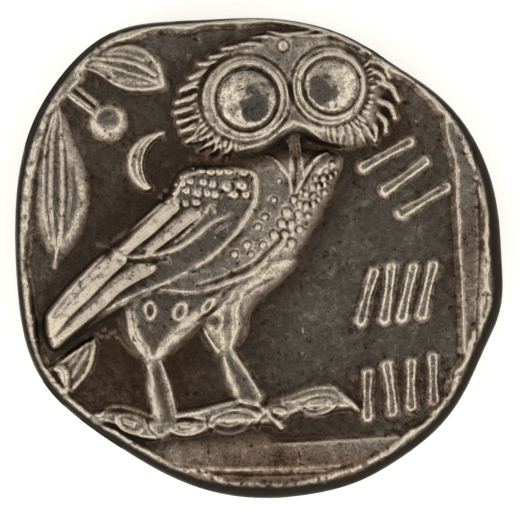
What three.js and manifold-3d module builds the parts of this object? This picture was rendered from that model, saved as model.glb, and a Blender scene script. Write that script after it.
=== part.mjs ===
// A struck silver coin on the Attic tetradrachm standard, one thick hammered flan.
// It lies owl side up, on the worn high points of the helmeted head on its domed underside.
// Millimetres, +Z up, +Y towards the owl's head. The origin is under the middle of the coin's
// bounding box, on the plane that the coin rests on.
import * as THREE from "three";
import { mergeVertices } from "three/addons/utils/BufferGeometryUtils.js";
import Module from "manifold-3d";

const wasm = await Module();
wasm.setup();

// ---- Driving dimensions
const FLAN_RADIUS = 12.1;
const FIELD_Z = 4.15; // the sunk field round the owl
const LEDGE_Z = 4.5; // what the square punch left standing at its right and foot
const RIM_Z = 4.68; // the ridge that the flan's edge was pushed up into
const RIM_INSET = 0.95; // from the outline to the field
const EDGE_WIDEST_Z = 2.7;
const DOME_Z = 0.5; // the underside's field at its middle
const DOME_RISE = 1.25; // how much further from the table that field is at its edge
const PUNCH_TURN = 4; // degrees that the square punch sits turned by
const PUNCH_RIGHT = 9.95;
const PUNCH_FOOT = 9.15;
const PUNCH_SIDE = 30;
const ROOT_DEPTH = 0.5; // how far raised forms reach down into the flan
const ROUND_STEPS = 90;
const SMALLEST_STEP = 0.02; // slivers thinner than this are closed up
const SILVER = 0x8f877a;

// Swellings (and flats, where the height is negative) of the hammered outline, in degrees and mm.
const SWELLS = [
  { bearing: 28, spread: 23, height: 0.32 },
  { bearing: 55, spread: 11, height: -0.26 },
  { bearing: 122, spread: 14, height: 0.7 },
  { bearing: 141, spread: 26, height: 1.3 },
  { bearing: 209, spread: 18, height: 0.62 },
  { bearing: 231, spread: 26, height: -0.4 },
  { bearing: 295, spread: 12, height: 0.18 },
  { bearing: 319, spread: 15, height: 0.32 },
  { bearing: 349, spread: 9, height: 0.31 },
];

const radians = THREE.MathUtils.degToRad;

function flanRadius(angle) {
  const bearing = THREE.MathUtils.radToDeg(angle);
  return SWELLS.reduce((radius, swell) => {
    const away = THREE.MathUtils.euclideanModulo(bearing - swell.bearing + 180, 360) - 180;
    return radius + swell.height * Math.exp(-((away / swell.spread) ** 2));
  }, FLAN_RADIUS);
}

// ---- Solids

function solid(geometry) {
  const bare = new THREE.BufferGeometry();
  bare.setAttribute("position", geometry.getAttribute("position"));
  bare.setIndex(geometry.index);
  const merged = mergeVertices(bare, 1e-4);
  return new wasm.Manifold(
    new wasm.Mesh({
      numProp: 3,
      vertProperties: merged.attributes.position.array,
      triVerts: new Uint32Array(merged.index.array),
    }),
  );
}

function joined(solids) {
  return solids.reduce((whole, piece) => whole.add(piece));
}

function block(width, depth, height, x, y, z, turn = 0) {
  const box = new THREE.BoxGeometry(width, depth, height);
  return solid(box.translate(x, y, z).rotateZ(radians(turn)));
}

// An upright form over a flat outline, its upper edge bevelled, standing proud of the field.
function raised(shape, height, bevel = 0.15) {
  const form = new THREE.ExtrudeGeometry(shape, {
    depth: height + ROOT_DEPTH - 2 * bevel,
    bevelThickness: bevel,
    bevelSize: bevel,
    bevelOffset: -bevel,
    bevelSegments: 1,
    curveSegments: 3,
  });
  return solid(form.translate(0, 0, FIELD_Z - ROOT_DEPTH + bevel));
}

// Half of it is buried: a dome over an ellipse that rises from base to top.
function dome(x, y, radiusX, radiusY, top, { turn = 0, base = 0, around = 18, down = 6 } = {}) {
  const ball = new THREE.SphereGeometry(1, around, down).rotateX(Math.PI / 2);
  ball.scale(radiusX, radiusY, top - base).rotateZ(radians(turn));
  return solid(ball.translate(x, y, FIELD_Z + base));
}

function closedOutline(points, steps = 24) {
  const loop = new THREE.CatmullRomCurve3(
    points.map(([x, y]) => new THREE.Vector3(x, y, 0)),
    true,
  );
  return new THREE.Shape(loop.getSpacedPoints(steps).slice(0, -1).map((p) => new THREE.Vector2(p.x, p.y)));
}

// The outline of a stroke along a smooth line, its half-width going from start through middle to end.
function strokeOutline(points, [start, middle, end], steps = 6) {
  const line = new THREE.SplineCurve(points.map(([x, y]) => new THREE.Vector2(x, y)));
  const left = [];
  const right = [];
  for (let i = 0; i <= steps; i++) {
    const t = i / steps;
    const half = t < 0.5 ? THREE.MathUtils.lerp(start, middle, 2 * t) : THREE.MathUtils.lerp(middle, end, 2 * t - 1);
    const at = line.getPointAt(t);
    const along = line.getTangentAt(t);
    const across = new THREE.Vector2(-along.y, along.x).multiplyScalar(half);
    left.push(at.clone().add(across));
    right.unshift(at.clone().sub(across));
  }
  return new THREE.Shape([...right, ...left]);
}

function stroke(points, halfWidths, height, steps) {
  return raised(strokeOutline(points, halfWidths, steps), height, Math.min(0.12, 0.6 * Math.min(...halfWidths)));
}

function polar(x, y, radius, degrees) {
  return [x + radius * Math.cos(radians(degrees)), y + radius * Math.sin(radians(degrees))];
}

// A round ridge with a dished middle: an eye's lid, a berry, a seed.
function ring(x, y, outer, inner, height, squash = 1, turn = 0) {
  const middle = (outer + inner) / 2;
  const profile = [
    [0, -ROOT_DEPTH],
    [outer, -ROOT_DEPTH],
    [outer, height * 0.4],
    [middle, height],
    [inner, height * 0.4],
    [0, height * 0.4],
  ].map(([r, z]) => new THREE.Vector2(r, z));
  const lathe = new THREE.LatheGeometry(profile, 16).rotateX(Math.PI / 2).rotateZ(Math.PI);
  return solid(lathe.scale(1, squash, 1).rotateZ(radians(turn)).translate(x, y, FIELD_Z));
}

// ---- The flan

// Half of its section: underside, edge and upper face, as [radius, height].
function flanSection() {
  const points = [];
  for (let r = 0; r < 11; r += 3.6) points.push([r, DOME_Z + DOME_RISE * (r / FLAN_RADIUS) ** 2.2]);
  points.push([11.3, DOME_Z + DOME_RISE + 0.1]);
  points.push([11.85, EDGE_WIDEST_Z - 0.7]);
  points.push([FLAN_RADIUS, EDGE_WIDEST_Z]);
  points.push([FLAN_RADIUS - 0.06, EDGE_WIDEST_Z + 0.9]);
  points.push([FLAN_RADIUS - 0.25, RIM_Z - 0.35]);
  points.push([FLAN_RADIUS - 0.55, RIM_Z]);
  points.push([FLAN_RADIUS - 0.95, LEDGE_Z]);
  points.push([0, LEDGE_Z]);
  return points.map(([r, z]) => new THREE.Vector2(r, z));
}

function flan() {
  const lathe = new THREE.LatheGeometry(flanSection(), ROUND_STEPS).rotateX(Math.PI / 2).rotateZ(Math.PI);
  const at = lathe.getAttribute("position");
  for (let i = 0; i < at.count; i++) {
    const swell = flanRadius(Math.atan2(at.getY(i), at.getX(i))) / FLAN_RADIUS;
    at.setXY(i, at.getX(i) * swell, at.getY(i) * swell);
  }
  return solid(lathe);
}

// The field: everything inside the rim that the square punch also covered.
function sunkField() {
  const inside = [];
  for (let i = 0; i < ROUND_STEPS / 2; i++) {
    const angle = (i * 4 * Math.PI) / ROUND_STEPS;
    const radius = flanRadius(angle) - RIM_INSET;
    inside.push(new THREE.Vector2(radius * Math.cos(angle), radius * Math.sin(angle)));
  }
  const pool = new THREE.ExtrudeGeometry(new THREE.Shape(inside), { depth: 2, bevelEnabled: false });
  const middleX = PUNCH_RIGHT - PUNCH_SIDE / 2;
  const middleY = PUNCH_SIDE / 2 - PUNCH_FOOT;
  const punch = block(PUNCH_SIDE, PUNCH_SIDE, 6, middleX, middleY, FIELD_Z, PUNCH_TURN);
  return solid(pool.translate(0, 0, FIELD_Z)).intersect(punch);
}

// ---- The owl

const HEAD = { x: 1.3, y: 7.75 };
const EYES = [
  { x: -0.7, y: 8.0, lid: 2.2, ball: 1.5, squash: 0.96 },
  { x: 3.55, y: 8.65, lid: 1.95, ball: 1.35, squash: 1 },
];

function head() {
  const skull = dome(HEAD.x, HEAD.y, 4.75, 3.6, 1.05, { around: 24, down: 10 });
  const eyes = EYES.flatMap((eye) => [
    ring(eye.x, eye.y, eye.lid, eye.ball, 1.05, eye.squash),
    dome(eye.x, eye.y, eye.ball, eye.ball * eye.squash, 1.1),
  ]);
  const beak = stroke([[1.7, 6.8], [1.9, 5.2], [1.8, 3.6]], [0.5, 0.28, 0.12], 1.15);
  return [skull, ...eyes, beak];
}

// Feather tips that stand out round the face, by bearing from its middle.
function ruff() {
  const tips = [];
  for (let bearing = 128; bearing <= 218; bearing += 10) {
    const root = polar(HEAD.x, HEAD.y, 4.1 + (bearing < 150 ? 0.3 : 0), bearing);
    const lean = 200 + (bearing - 170) * 0.25;
    tips.push(stroke([root, polar(...root, 1.15, lean)], [0.16, 0.14, 0.08], 0.45, 2));
  }
  for (let bearing = 26; bearing >= -22; bearing -= 12) {
    const root = polar(HEAD.x, HEAD.y, 4.3, bearing);
    tips.push(stroke([root, polar(...root, 1.3, -42 + bearing * 0.35)], [0.2, 0.18, 0.1], 0.45, 2));
  }
  return tips;
}

const WING_EDGE = [[0.0, 4.1], [-0.1, 2.8], [-1.0, 1.4], [-2.6, 0], [-4.8, -1.25], [-8.0, -3.1], [-10.1, -4.6]];
const WING_BACK = [[-10.75, -3.2], [-9.4, -1.2], [-7.3, 0.6], [-5.0, 2.8], [-3.4, 4.6], [-1.2, 4.8]];

function body() {
  const trunk = [[3.9, 4.7], [3.3, 2.8], [2.3, 1.1], [1.1, -0.9], [-0.4, -2.6], [-3.2, -3.6], [-5.6, -4.5], [-6.8, -3]];
  const back = [[-6.4, -1.2], [-4.5, 1.5], [-3.4, 4.6], [0, 5.3]];
  return [
    raised(closedOutline([...trunk, ...back], 36), 0.5, 0.3),
    dome(1.6, 2.6, 1.9, 3.6, 0.95, { turn: -30 }),
    dome(-1.6, -1.1, 2.6, 1.5, 0.9, { turn: 32 }),
    raised(closedOutline([...WING_EDGE, ...WING_BACK], 36), 0.8, 0.3),
    stroke(WING_EDGE, [0.16, 0.14, 0.06], 1.05, 14),
  ];
}

// Flight feathers and coverts: long bands that lie side by side down the wing.
function wingFeathers() {
  const bands = [
    { from: [-7.3, 0.2], to: [-10.5, -2.9], half: 0.22 },
    { from: [-6.7, -0.3], to: [-10.4, -3.7], half: 0.26 },
    { from: [-5.7, -0.6], to: [-9.9, -4.2], half: 0.36 },
    { from: [-5.0, 2.4], to: [-7.0, 0.75], half: 0.15 },
    { from: [-4.2, 2.3], to: [-6.4, 0.6], half: 0.24 },
    { from: [-3.1, 2.1], to: [-5.3, 0.5], half: 0.24 },
  ];
  const coverts = [[-7.2, 0.6], [-6.4, 0.1], [-5.0, 0.25], [-3.6, 0.85], [-2.4, 2.0], [-1.6, 2.3]];
  return [
    ...bands.map(({ from, to, half }) => stroke([from, to], [half * 0.7, half, half * 0.7], 0.98, 2)),
    stroke(coverts, [0.1, 0.12, 0.06], 1.08, 10),
  ];
}

// Small round feathers in rows, from first to last in a row, with the rows stepping on.
function scales(first, along, row, columns, rows, radius, height) {
  const beads = [];
  for (let r = 0; r < rows; r++) {
    for (let c = 0; c < columns; c++) {
      const x = first[0] + (c + (r % 2) / 2) * along[0] + r * row[0];
      const y = first[1] + (c + (r % 2) / 2) * along[1] + r * row[1];
      beads.push(dome(x, y, radius, radius, height, { base: 0.3, around: 6, down: 4 }));
    }
  }
  return beads;
}

function plumage() {
  return [
    ...scales([-3.3, 4.3], [0.62, 0], [-0.15, -0.52], 5, 3, 0.22, 1.02),
    ...scales([3.35, 4.3], [0.42, 0.3], [-0.3, -0.62], 2, 6, 0.22, 0.98),
  ];
}

// A thigh, a shank of two tendons, and the claws it ends in.
function leg(knee, ankle) {
  const [dx, dy] = [ankle[0] - knee[0], ankle[1] - knee[1]];
  const length = Math.hypot(dx, dy);
  const tendons = [-1, 1].map((side) => {
    const shift = [(-side * 0.3 * dy) / length, (side * 0.3 * dx) / length];
    const ends = [knee, ankle].map(([x, y]) => [x + shift[0], y + shift[1]]);
    return stroke(ends, [0.14, 0.2, 0.18], 0.62, 3);
  });
  return [stroke([knee, ankle], [0.36, 0.42, 0.45], 0.42, 3), ...tendons];
}

function legs() {
  return [
    dome(-5.2, -3.3, 1.5, 1.9, 0.75, { turn: 15 }),
    dome(-1.3, -3.2, 0.9, 1.7, 0.75, { turn: -12 }),
    ...leg([-5.2, -5.0], [-4.6, -7.9]),
    ...leg([-1.6, -4.6], [-0.5, -6.9]),
  ];
}

function claws() {
  return [
    stroke([[-7.9, -8.0], [-7.0, -7.5], [-5.6, -7.9], [-4.0, -7.9]], [0.2, 0.24, 0.24], 0.5, 6),
    stroke([[-6.9, -8.2], [-6.2, -8.65], [-5.2, -8.8]], [0.25, 0.3, 0.25], 0.45, 3),
    ring(-3.5, -8.3, 1.0, 0.6, 0.55, 0.5),
    ring(-1.1, -8.1, 1.35, 0.8, 0.55, 0.42, 8),
    stroke([[-3.4, -7.75], [-1.2, -7.15], [0.3, -7.5], [1.2, -8.4]], [0.2, 0.2, 0.12], 0.55, 6),
    ring(1.0, -7.7, 0.75, 0.4, 0.5, 0.55),
    ring(2.95, -7.3, 1.2, 0.7, 0.6, 0.5, 8),
    stroke([[1.1, -7.0], [3.2, -6.45], [4.9, -7.5]], [0.12, 0.2, 0.12], 0.55, 6),
  ];
}

// The tail's stub below the wing tip.
function tail() {
  return [
    raised(closedOutline([[-10.2, -5.3], [-9.2, -4.5], [-8.3, -4.1], [-8.4, -5], [-9.3, -6.5]], 14), 0.4),
    stroke([[-9.3, -6.2], [-8.6, -4.6]], [0.08, 0.1, 0.08], 0.55, 3),
  ];
}

// ---- What surrounds the owl

function leaf(tip, base, halfWidth) {
  const bearing = Math.atan2(tip[1] - base[1], tip[0] - base[0]);
  const length = Math.hypot(tip[0] - base[0], tip[1] - base[1]);
  const at = (along, across) => [
    base[0] + along * length * Math.cos(bearing) - across * halfWidth * Math.sin(bearing),
    base[1] + along * length * Math.sin(bearing) + across * halfWidth * Math.cos(bearing),
  ];
  const bow = (side, share) => [at(0.04, 0), at(0.35, side * share), at(0.7, side * share), at(0.97, 0)];
  const outline = closedOutline([at(0, 0), at(0.3, -1), at(0.65, -0.95), at(1, 0), at(0.65, 0.95), at(0.3, 1)]);
  return [
    raised(outline, 0.4),
    stroke(bow(-1, 0.82), [0.08, 0.17, 0.1], 0.55, 6),
    stroke(bow(1, 0.82), [0.08, 0.17, 0.1], 0.55, 6),
    stroke(bow(1, 0.25), [0.06, 0.08, 0.06], 0.5, 5),
    stroke(bow(-1, 0.25), [0.06, 0.08, 0.06], 0.5, 5),
  ];
}

function sprig() {
  return [
    ...leaf([-4.7, 9.0], [-9.0, 9.75], 1.35),
    ...leaf([-10.1, 0.0], [-10.1, 7.8], 1.3),
    stroke([[-9.6, 8.5], [-8.2, 7.4]], [0.3, 0.3, 0.3], 0.45, 2),
    dome(-7.6, 6.85, 0.9, 0.9, 0.75),
  ];
}

function crescent() {
  const outer = { x: -5.1, y: 4.8, radius: 1.6 };
  const inner = { x: -4.3, y: 4.65, radius: 1.6 };
  const points = [];
  for (let bearing = 82; bearing <= 246; bearing += 16) points.push(polar(outer.x, outer.y, outer.radius, bearing));
  for (let bearing = 218; bearing >= 112; bearing -= 18) points.push(polar(inner.x, inner.y, inner.radius, bearing));
  return [raised(new THREE.Shape(points.map(([x, y]) => new THREE.Vector2(x, y))), 0.45, 0.12)];
}

// Rows of shallow slanting strokes.
const STROKE_ROWS = [
  { first: [5.3, 4.6], step: [0.95, -1.15], reach: [2.15, 1.35], count: 3 },
  { first: [5.2, -3.1], step: [1.0, 0.1], reach: [0.5, 2.5], count: 4 },
  { first: [5.5, -7.9], step: [1.1, 0.26], reach: [-0.1, 2.2], count: 4 },
];
const STROKE_HALF_WIDTH = 0.27;
const STROKE_RISE = 0.27;

function strokeRows() {
  return STROKE_ROWS.flatMap(({ first, step, reach, count }) =>
    Array.from({ length: count }, (_, i) => {
      const from = [first[0] + i * step[0], first[1] + i * step[1]];
      const to = [from[0] + reach[0], from[1] + reach[1]];
      return stroke([from, to], Array(3).fill(STROKE_HALF_WIDTH), STROKE_RISE, 2);
    }),
  );
}

// ---- The underside: a plain helmeted head in profile, worn flat where it stands highest

// The head's outline, facing -X. It starts at the brow, goes down the face, and comes back over the neck.
const PROFILE = [
  [-5.2, 1.2], [-5.7, -0.4], [-6.9, -2.1], [-6.0, -2.7], [-6.3, -3.5], [-5.9, -4.2], [-6.2, -5.1],
  [-5.2, -6.2], [-3.4, -6.3], [-1.6, -7.2], [-1.2, -9.3], [3.4, -9.0], [4.4, -5.6], [7.2, -3.6],
  [8.4, 0.2], [7.9, 4.6], [4.8, 8.0], [0.4, 9.0], [-3.6, 7.2], [-5.3, 4.0],
];
const PROFILE_Z = 0.45; // how near the table the head's lowest relief comes

function portrait() {
  const outline = new THREE.Shape(PROFILE.map(([x, y]) => new THREE.Vector2(x, y)));
  const relief = new THREE.ExtrudeGeometry(outline, {
    depth: 1.6,
    bevelThickness: 0.3,
    bevelSize: 0.3,
    bevelOffset: -0.3,
    bevelSegments: 1,
  });
  const mass = (x, y, radiusX, radiusY, depth, turn = 0) => {
    const ball = new THREE.SphereGeometry(1, 24, 10).rotateX(Math.PI / 2);
    ball.scale(radiusX, radiusY, depth).rotateZ(radians(turn));
    return solid(ball.translate(x, y, 1.1));
  };
  return [
    solid(relief.translate(0, 0, PROFILE_Z + 0.3)),
    mass(1.6, 3.1, 6.2, 5.2, 1.75, 8), // helmet bowl
    mass(-2.0, -1.7, 3.5, 4.4, 1.6, -14), // cheek and jaw
    mass(1.4, -6.0, 2.6, 3.4, 1.35, 8), // neck
    mass(5.8, -0.4, 2.1, 4.0, 1.4, 12), // hair at the nape
  ];
}

// ---- The coin

function coin() {
  const owl = [head(), ruff(), body(), wingFeathers(), plumage(), legs(), claws(), tail()].flat();
  const around = [sprig(), crescent(), strokeRows()].flat();
  const struck = joined([flan().subtract(sunkField()), ...owl, ...around, ...portrait()]);
  const worn = struck.intersect(block(40, 40, 20, 0, 0, 10)).simplify(SMALLEST_STEP);
  const mesh = worn.getMesh();
  const geometry = new THREE.BufferGeometry();
  geometry.setAttribute("position", new THREE.BufferAttribute(mesh.vertProperties, 3));
  geometry.setIndex(new THREE.BufferAttribute(mesh.triVerts, 1));
  geometry.computeVertexNormals();
  const silver = new THREE.MeshStandardMaterial({ color: SILVER, roughness: 0.4, metalness: 0.9 });
  const piece = new THREE.Mesh(geometry, silver);
  piece.name = "coin";
  return piece;
}

const part = new THREE.Group();
part.add(coin());

export default part;
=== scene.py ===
"""A struck silver tetradrachm lying owl side up: its relief, its toned metal and a plain studio.

All relief is worked out in millimetres as two height maps, one for each face. They are laid on one
closed mesh whose outline is the hammered flan's, and the mesh is then thinned where it is smooth.
"""
import math

import bpy
import numpy as np
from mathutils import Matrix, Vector


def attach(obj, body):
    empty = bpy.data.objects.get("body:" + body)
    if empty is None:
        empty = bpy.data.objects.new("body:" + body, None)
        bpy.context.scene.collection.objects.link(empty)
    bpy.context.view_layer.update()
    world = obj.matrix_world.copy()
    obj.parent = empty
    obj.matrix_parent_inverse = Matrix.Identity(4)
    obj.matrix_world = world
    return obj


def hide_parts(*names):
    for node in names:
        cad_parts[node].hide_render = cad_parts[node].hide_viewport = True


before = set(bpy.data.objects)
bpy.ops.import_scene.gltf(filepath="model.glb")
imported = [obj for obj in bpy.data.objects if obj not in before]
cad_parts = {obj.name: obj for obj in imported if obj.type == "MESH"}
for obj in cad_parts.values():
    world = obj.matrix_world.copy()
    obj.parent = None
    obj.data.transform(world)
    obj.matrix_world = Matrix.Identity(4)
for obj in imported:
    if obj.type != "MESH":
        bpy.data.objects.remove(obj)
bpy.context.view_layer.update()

MM = 0.001
FLAN_RADIUS = 12.1
FIELD_Z = 4.15
LEDGE = 0.27  # above the sunk field, as the rim's height is
RIM = 0.47
EDGE_TOP_Z = 3.65  # where the upper face turns into the coin's edge
EDGE_FOOT_Z = 1.95
DOME_Z = 0.5
DOME_RISE = 1.25
FINE_RELIEF = 0.17  # the room that the underside's head leaves for the strokes on it
SPAN = 12.9  # half of the height maps' side
PIT_REACH = 11.6
POLISHED = -0.95  # places with less matt than this have no pits
TRIANGLES = 190_000
STEP = 0.04
MESH_SIDE = 520
WALL_ROWS = 14
WALL_LUMPS = 260  # how fine the hammering of the wall is: lumps on the way round
UPPER_PULL = 0.05  # how far each face's border lies inside the outline
LOWER_PULL = 0.3
BELLY = 0.35  # how far down the wall, as a share, it reaches the outline

# Swellings of the hammered outline: bearing and spread in degrees, height in mm.
SWELLS = [
    (28, 23, 0.32),
    (55, 11, -0.26),
    (122, 14, 0.7),
    (141, 26, 1.3),
    (209, 18, 0.62),
    (231, 26, -0.4),
    (295, 12, 0.18),
    (319, 15, 0.32),
    (349, 9, 0.31),
]


def flan_radius(angle):
    """The outline's distance from the middle at an angle in radians."""
    radius = np.full_like(angle, FLAN_RADIUS)
    for bearing, spread, height in SWELLS:
        away = (np.degrees(angle) - bearing + 180) % 360 - 180
        radius += height * np.exp(-((away / spread) ** 2))
    return radius


# ---- Height maps


def bell(u):
    return np.clip(1 - u * u, 0, 1) ** 2


def table(u):
    return ease((1 - np.abs(u)) / 0.4)


def tile(u):
    """Rises across its width like a roof tile and drops at its far side."""
    return (0.5 + 0.5 * u) * ease((1 - np.abs(u)) / 0.22)


def ramp(u):
    """A flat-topped bar with sloping sides."""
    return bevel((1 - np.abs(u)) / 0.7)


def shin(u):
    """Like a ramp, with a wider flat."""
    return bevel((1 - np.abs(u)) / 0.55)


def swell(u):
    return np.clip(1 - u * u, 0, 1)


def bevel(u):
    """A shoulder of nearly even slope, from 0 at the outline to 1 on the flat."""
    return 1 - (1 - np.clip(u, 0, 1)) ** 1.4


def ease(t):
    t = np.clip(t, 0, 1)
    return t * t * (3 - 2 * t)


def smooth_max(a, b, blend):
    share = np.clip(0.5 + 0.5 * (a - b) / blend, 0, 1)
    return b * (1 - share) + a * share + blend * share * (1 - share)


def curve(points, closed=False, steps=6):
    """A smooth line (Catmull-Rom) through some points."""
    p = np.asarray(points, dtype=float)
    if closed:
        p = np.vstack([p[-1], p, p[0], p[1]])
    elif len(p) == 2:
        return p
    else:
        p = np.vstack([2 * p[0] - p[1], p, 2 * p[-1] - p[-2]])
    t = np.linspace(0, 1, steps, endpoint=False)[:, None]
    out = []
    for a, b, c, d in zip(p, p[1:], p[2:], p[3:]):
        square = 2 * a - 5 * b + 4 * c - d
        cube = 3 * b - a - 3 * c + d
        out.append(0.5 * (2 * b + (c - a) * t + square * t**2 + cube * t**3))
    out.append(p[-2][None])
    return np.vstack(out)


def ring_points(x, y, rx, ry, turn=0, start=0, end=360, count=25):
    """Points round an ellipse, or round part of one."""
    at = np.radians(np.linspace(start, end, count))
    c, s = math.cos(math.radians(turn)), math.sin(math.radians(turn))
    px, py = rx * np.cos(at), ry * np.sin(at)
    return np.stack([x + px * c - py * s, y + px * s + py * c], axis=1)


class Relief:
    """A height map over a square round the coin's middle."""

    def __init__(self):
        self.axis = np.arange(-SPAN, SPAN + STEP / 2, STEP)
        self.x, self.y = np.meshgrid(self.axis, self.axis)
        self.z = np.zeros_like(self.x)
        self.matt = np.zeros_like(self.x)
        self.stain_and_shade = np.zeros_like(self.x)
        self.inset = flan_radius(np.arctan2(self.y, self.x)) - np.hypot(self.x, self.y)

    def window(self, points, margin):
        low = np.searchsorted(self.axis, np.min(points, axis=0) - margin)
        high = np.searchsorted(self.axis, np.max(points, axis=0) + margin)
        return slice(low[1], high[1]), slice(low[0], high[0])

    def to_line(self, line, margin):
        """Window, signed distance to the line (its left side is positive) and share of the way along."""
        where = self.window(line, margin)
        x, y = self.x[where], self.y[where]
        ends = np.diff(line, axis=0)
        lengths = np.maximum(np.hypot(ends[:, 0], ends[:, 1]), 1e-9)
        before = np.concatenate([[0], np.cumsum(lengths)])
        near = np.full(x.shape, 1e9)
        side = np.zeros(x.shape)
        share = np.zeros(x.shape)
        for (x0, y0), (dx, dy), length, start in zip(line, ends, lengths, before):
            along = np.clip(((x - x0) * dx + (y - y0) * dy) / length**2, 0, 1)
            away = np.hypot(x - x0 - along * dx, y - y0 - along * dy)
            closer = away < near
            near = np.where(closer, away, near)
            side = np.where(closer, np.sign(dx * (y - y0) - dy * (x - x0)), side)
            share = np.where(closer, (start + along * length) / before[-1], share)
        return where, near * np.where(side == 0, 1, side), share

    def stroke(self, points, half, height, section=bell, closed=False, steepest=0.55):
        """Adds a line of relief. Half its width is one number, or is given at the start, middle and end.

        Where it is narrow it stays lower, so that its sides are never steeper than asked.
        """
        halves = np.atleast_1d(half)
        line = curve(points, closed)
        where, away, share = self.to_line(line, halves.max())
        width = np.interp(share, np.linspace(0, 1, len(halves)), halves)
        lower = np.clip(steepest * width / abs(height), 0, 1)
        self.z[where] += height * lower * section(np.clip(away / width, -1, 1))

    def strokes(self, rows, gain=1.0, steepest=0.55, matt=None):
        """Adds lines of relief, given as rows of points, half a width and a height."""
        for points, half, height in rows:
            self.stroke(points, half, gain * height, steepest=steepest)
            if matt is not None:
                self.roughen(points, half, matt)

    @staticmethod
    def skirt(foot, away):
        """The foot of a form, at a distance outside its outline."""
        return foot * (1 - ease(away / 0.12)) - 0.02

    def raise_to(self, where, level, blend=0.06):
        """Merges a form with what is there, without a step where the form runs out."""
        here = self.z[where]
        blend = blend * np.clip((level + 0.02) / 0.12, 0.05, 1)
        self.z[where] = smooth_max(here, level, blend)

    def bank(self, points, half, top, section=swell, foot=0.04):
        """A line of relief that stands on the field, and merges with what is higher."""
        halves = np.atleast_1d(half)
        line = curve(points)
        where, away, share = self.to_line(line, halves.max() + 0.3)
        width = np.interp(share, np.linspace(0, 1, len(halves)), halves)
        summit = np.minimum(top, foot + 0.8 * width)
        inside = foot + (summit - foot) * section(np.clip(away / width, -1, 1))
        outside = self.skirt(foot, np.abs(away) - width)
        self.raise_to(where, np.where(np.abs(away) < width, inside, outside), 0.04)

    def plate(self, points, top, shoulder, foot=0.03, blend=0.06, crown=None, matt=None):
        """A form inside a smooth outline, with a bevelled shoulder.

        A crown gives its top's height at x, y. Matt is how dull its top is, from -1 for polished to 1.
        """
        outline = curve(points, closed=True)
        where, away, _ = self.to_line(outline, 0.5)
        x, y = self.x[where], self.y[where]
        within = np.zeros(x.shape, dtype=bool)
        for (x0, y0), (x1, y1) in zip(outline, np.roll(outline, -1, axis=0)):
            if y0 != y1:
                within ^= ((y0 > y) != (y1 > y)) & (x < (x1 - x0) * (y - y0) / (y1 - y0) + x0)
        summit = top if crown is None else crown(x, y)
        depth = np.abs(away)
        level = foot + (summit - foot) * bevel(depth / shoulder)
        self.raise_to(where, np.where(within, level, self.skirt(foot, depth)), blend)
        if matt is not None:
            self.matt[where] = np.where(within & (depth > 0.8 * shoulder), matt, self.matt[where])

    def roughen(self, points, half, amount=1.0):
        """Marks the metal along a line as rubbed matt and clean of patina and of painted shade."""
        halves = np.atleast_1d(half)
        where, away, share = self.to_line(curve(points), halves.max())
        width = np.interp(share, np.linspace(0, 1, len(halves)), halves)
        share = ease(1.6 * swell(np.clip(away / width, -1, 1)))
        self.matt[where] = np.maximum(self.matt[where], amount * share)
        self.stain_and_shade[where] *= 1 - 0.9 * share

    def polish(self, x, y, rx, ry, matt=-1.0):
        """Sets how dull the metal is inside an ellipse."""
        where, q = self.ellipse(x, y, rx, ry)
        self.matt[where] = np.where(q < 1, matt, self.matt[where])

    def ellipse(self, x, y, rx, ry, turn=0, margin=1.6):
        reach = max(rx, ry) * margin
        where = self.window([(x, y)], reach)
        c, s = math.cos(math.radians(turn)), math.sin(math.radians(turn))
        dx, dy = self.x[where] - x, self.y[where] - y
        return where, np.hypot((dx * c + dy * s) / rx, (dy * c - dx * s) / ry)

    def dome(self, x, y, rx, ry, top, turn=0, foot=0.1, blend=0.08):
        where, q = self.ellipse(x, y, rx, ry, turn)
        level = foot + (top - foot) * (1 - q * q)
        skirt = foot * (1 - ease((q - 1) * min(rx, ry) / 0.25)) - 0.02
        self.raise_to(where, np.where(q < 1, level, skirt), blend)

    def bead(self, x, y, rx, ry, height, turn=0, section=bell):
        """Adds a small round form on top of what is there."""
        where, q = self.ellipse(x, y, rx, ry, turn, 1)
        self.z[where] += height * section(np.clip(q, 0, 1))

    def hoop(self, x, y, rx, ry, half, height, turn=0, section=bell):
        """Adds a ridge, or cuts a groove, round an ellipse."""
        where, q = self.ellipse(x, y, rx, ry, turn, 1 + half / min(rx, ry))
        self.z[where] += height * section(np.clip((q - 1) * math.sqrt(rx * ry) / half, -1, 1))

    def sample(self, values, x, y):
        """A map's values at any points, between its grid lines."""
        column = np.clip((x + SPAN) / STEP, 0, len(self.axis) - 1.001)
        row = np.clip((y + SPAN) / STEP, 0, len(self.axis) - 1.001)
        c, r = column.astype(int), row.astype(int)
        u, v = column - c, row - r
        low = values[r, c] * (1 - u) + values[r, c + 1] * u
        high = values[r + 1, c] * (1 - u) + values[r + 1, c + 1] * u
        return low * (1 - v) + high * v


def blurred(values, sigma):
    """A map smoothed by a Gaussian of so many millimetres."""
    fy = np.fft.fftfreq(values.shape[0], STEP)[:, None]
    fx = np.fft.rfftfreq(values.shape[1], STEP)[None, :]
    keep = np.exp(-2 * (np.pi * sigma) ** 2 * (fx**2 + fy**2))
    return np.fft.irfft2(np.fft.rfft2(values) * keep, s=values.shape)


def grain(shape, size, seed):
    """Smooth noise with features of a size in millimetres, mean 0 and spread 1."""
    noise = blurred(np.random.default_rng(seed).standard_normal(shape), size)
    return noise / noise.std()


# ---- The flan and what the punch left of it

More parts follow.
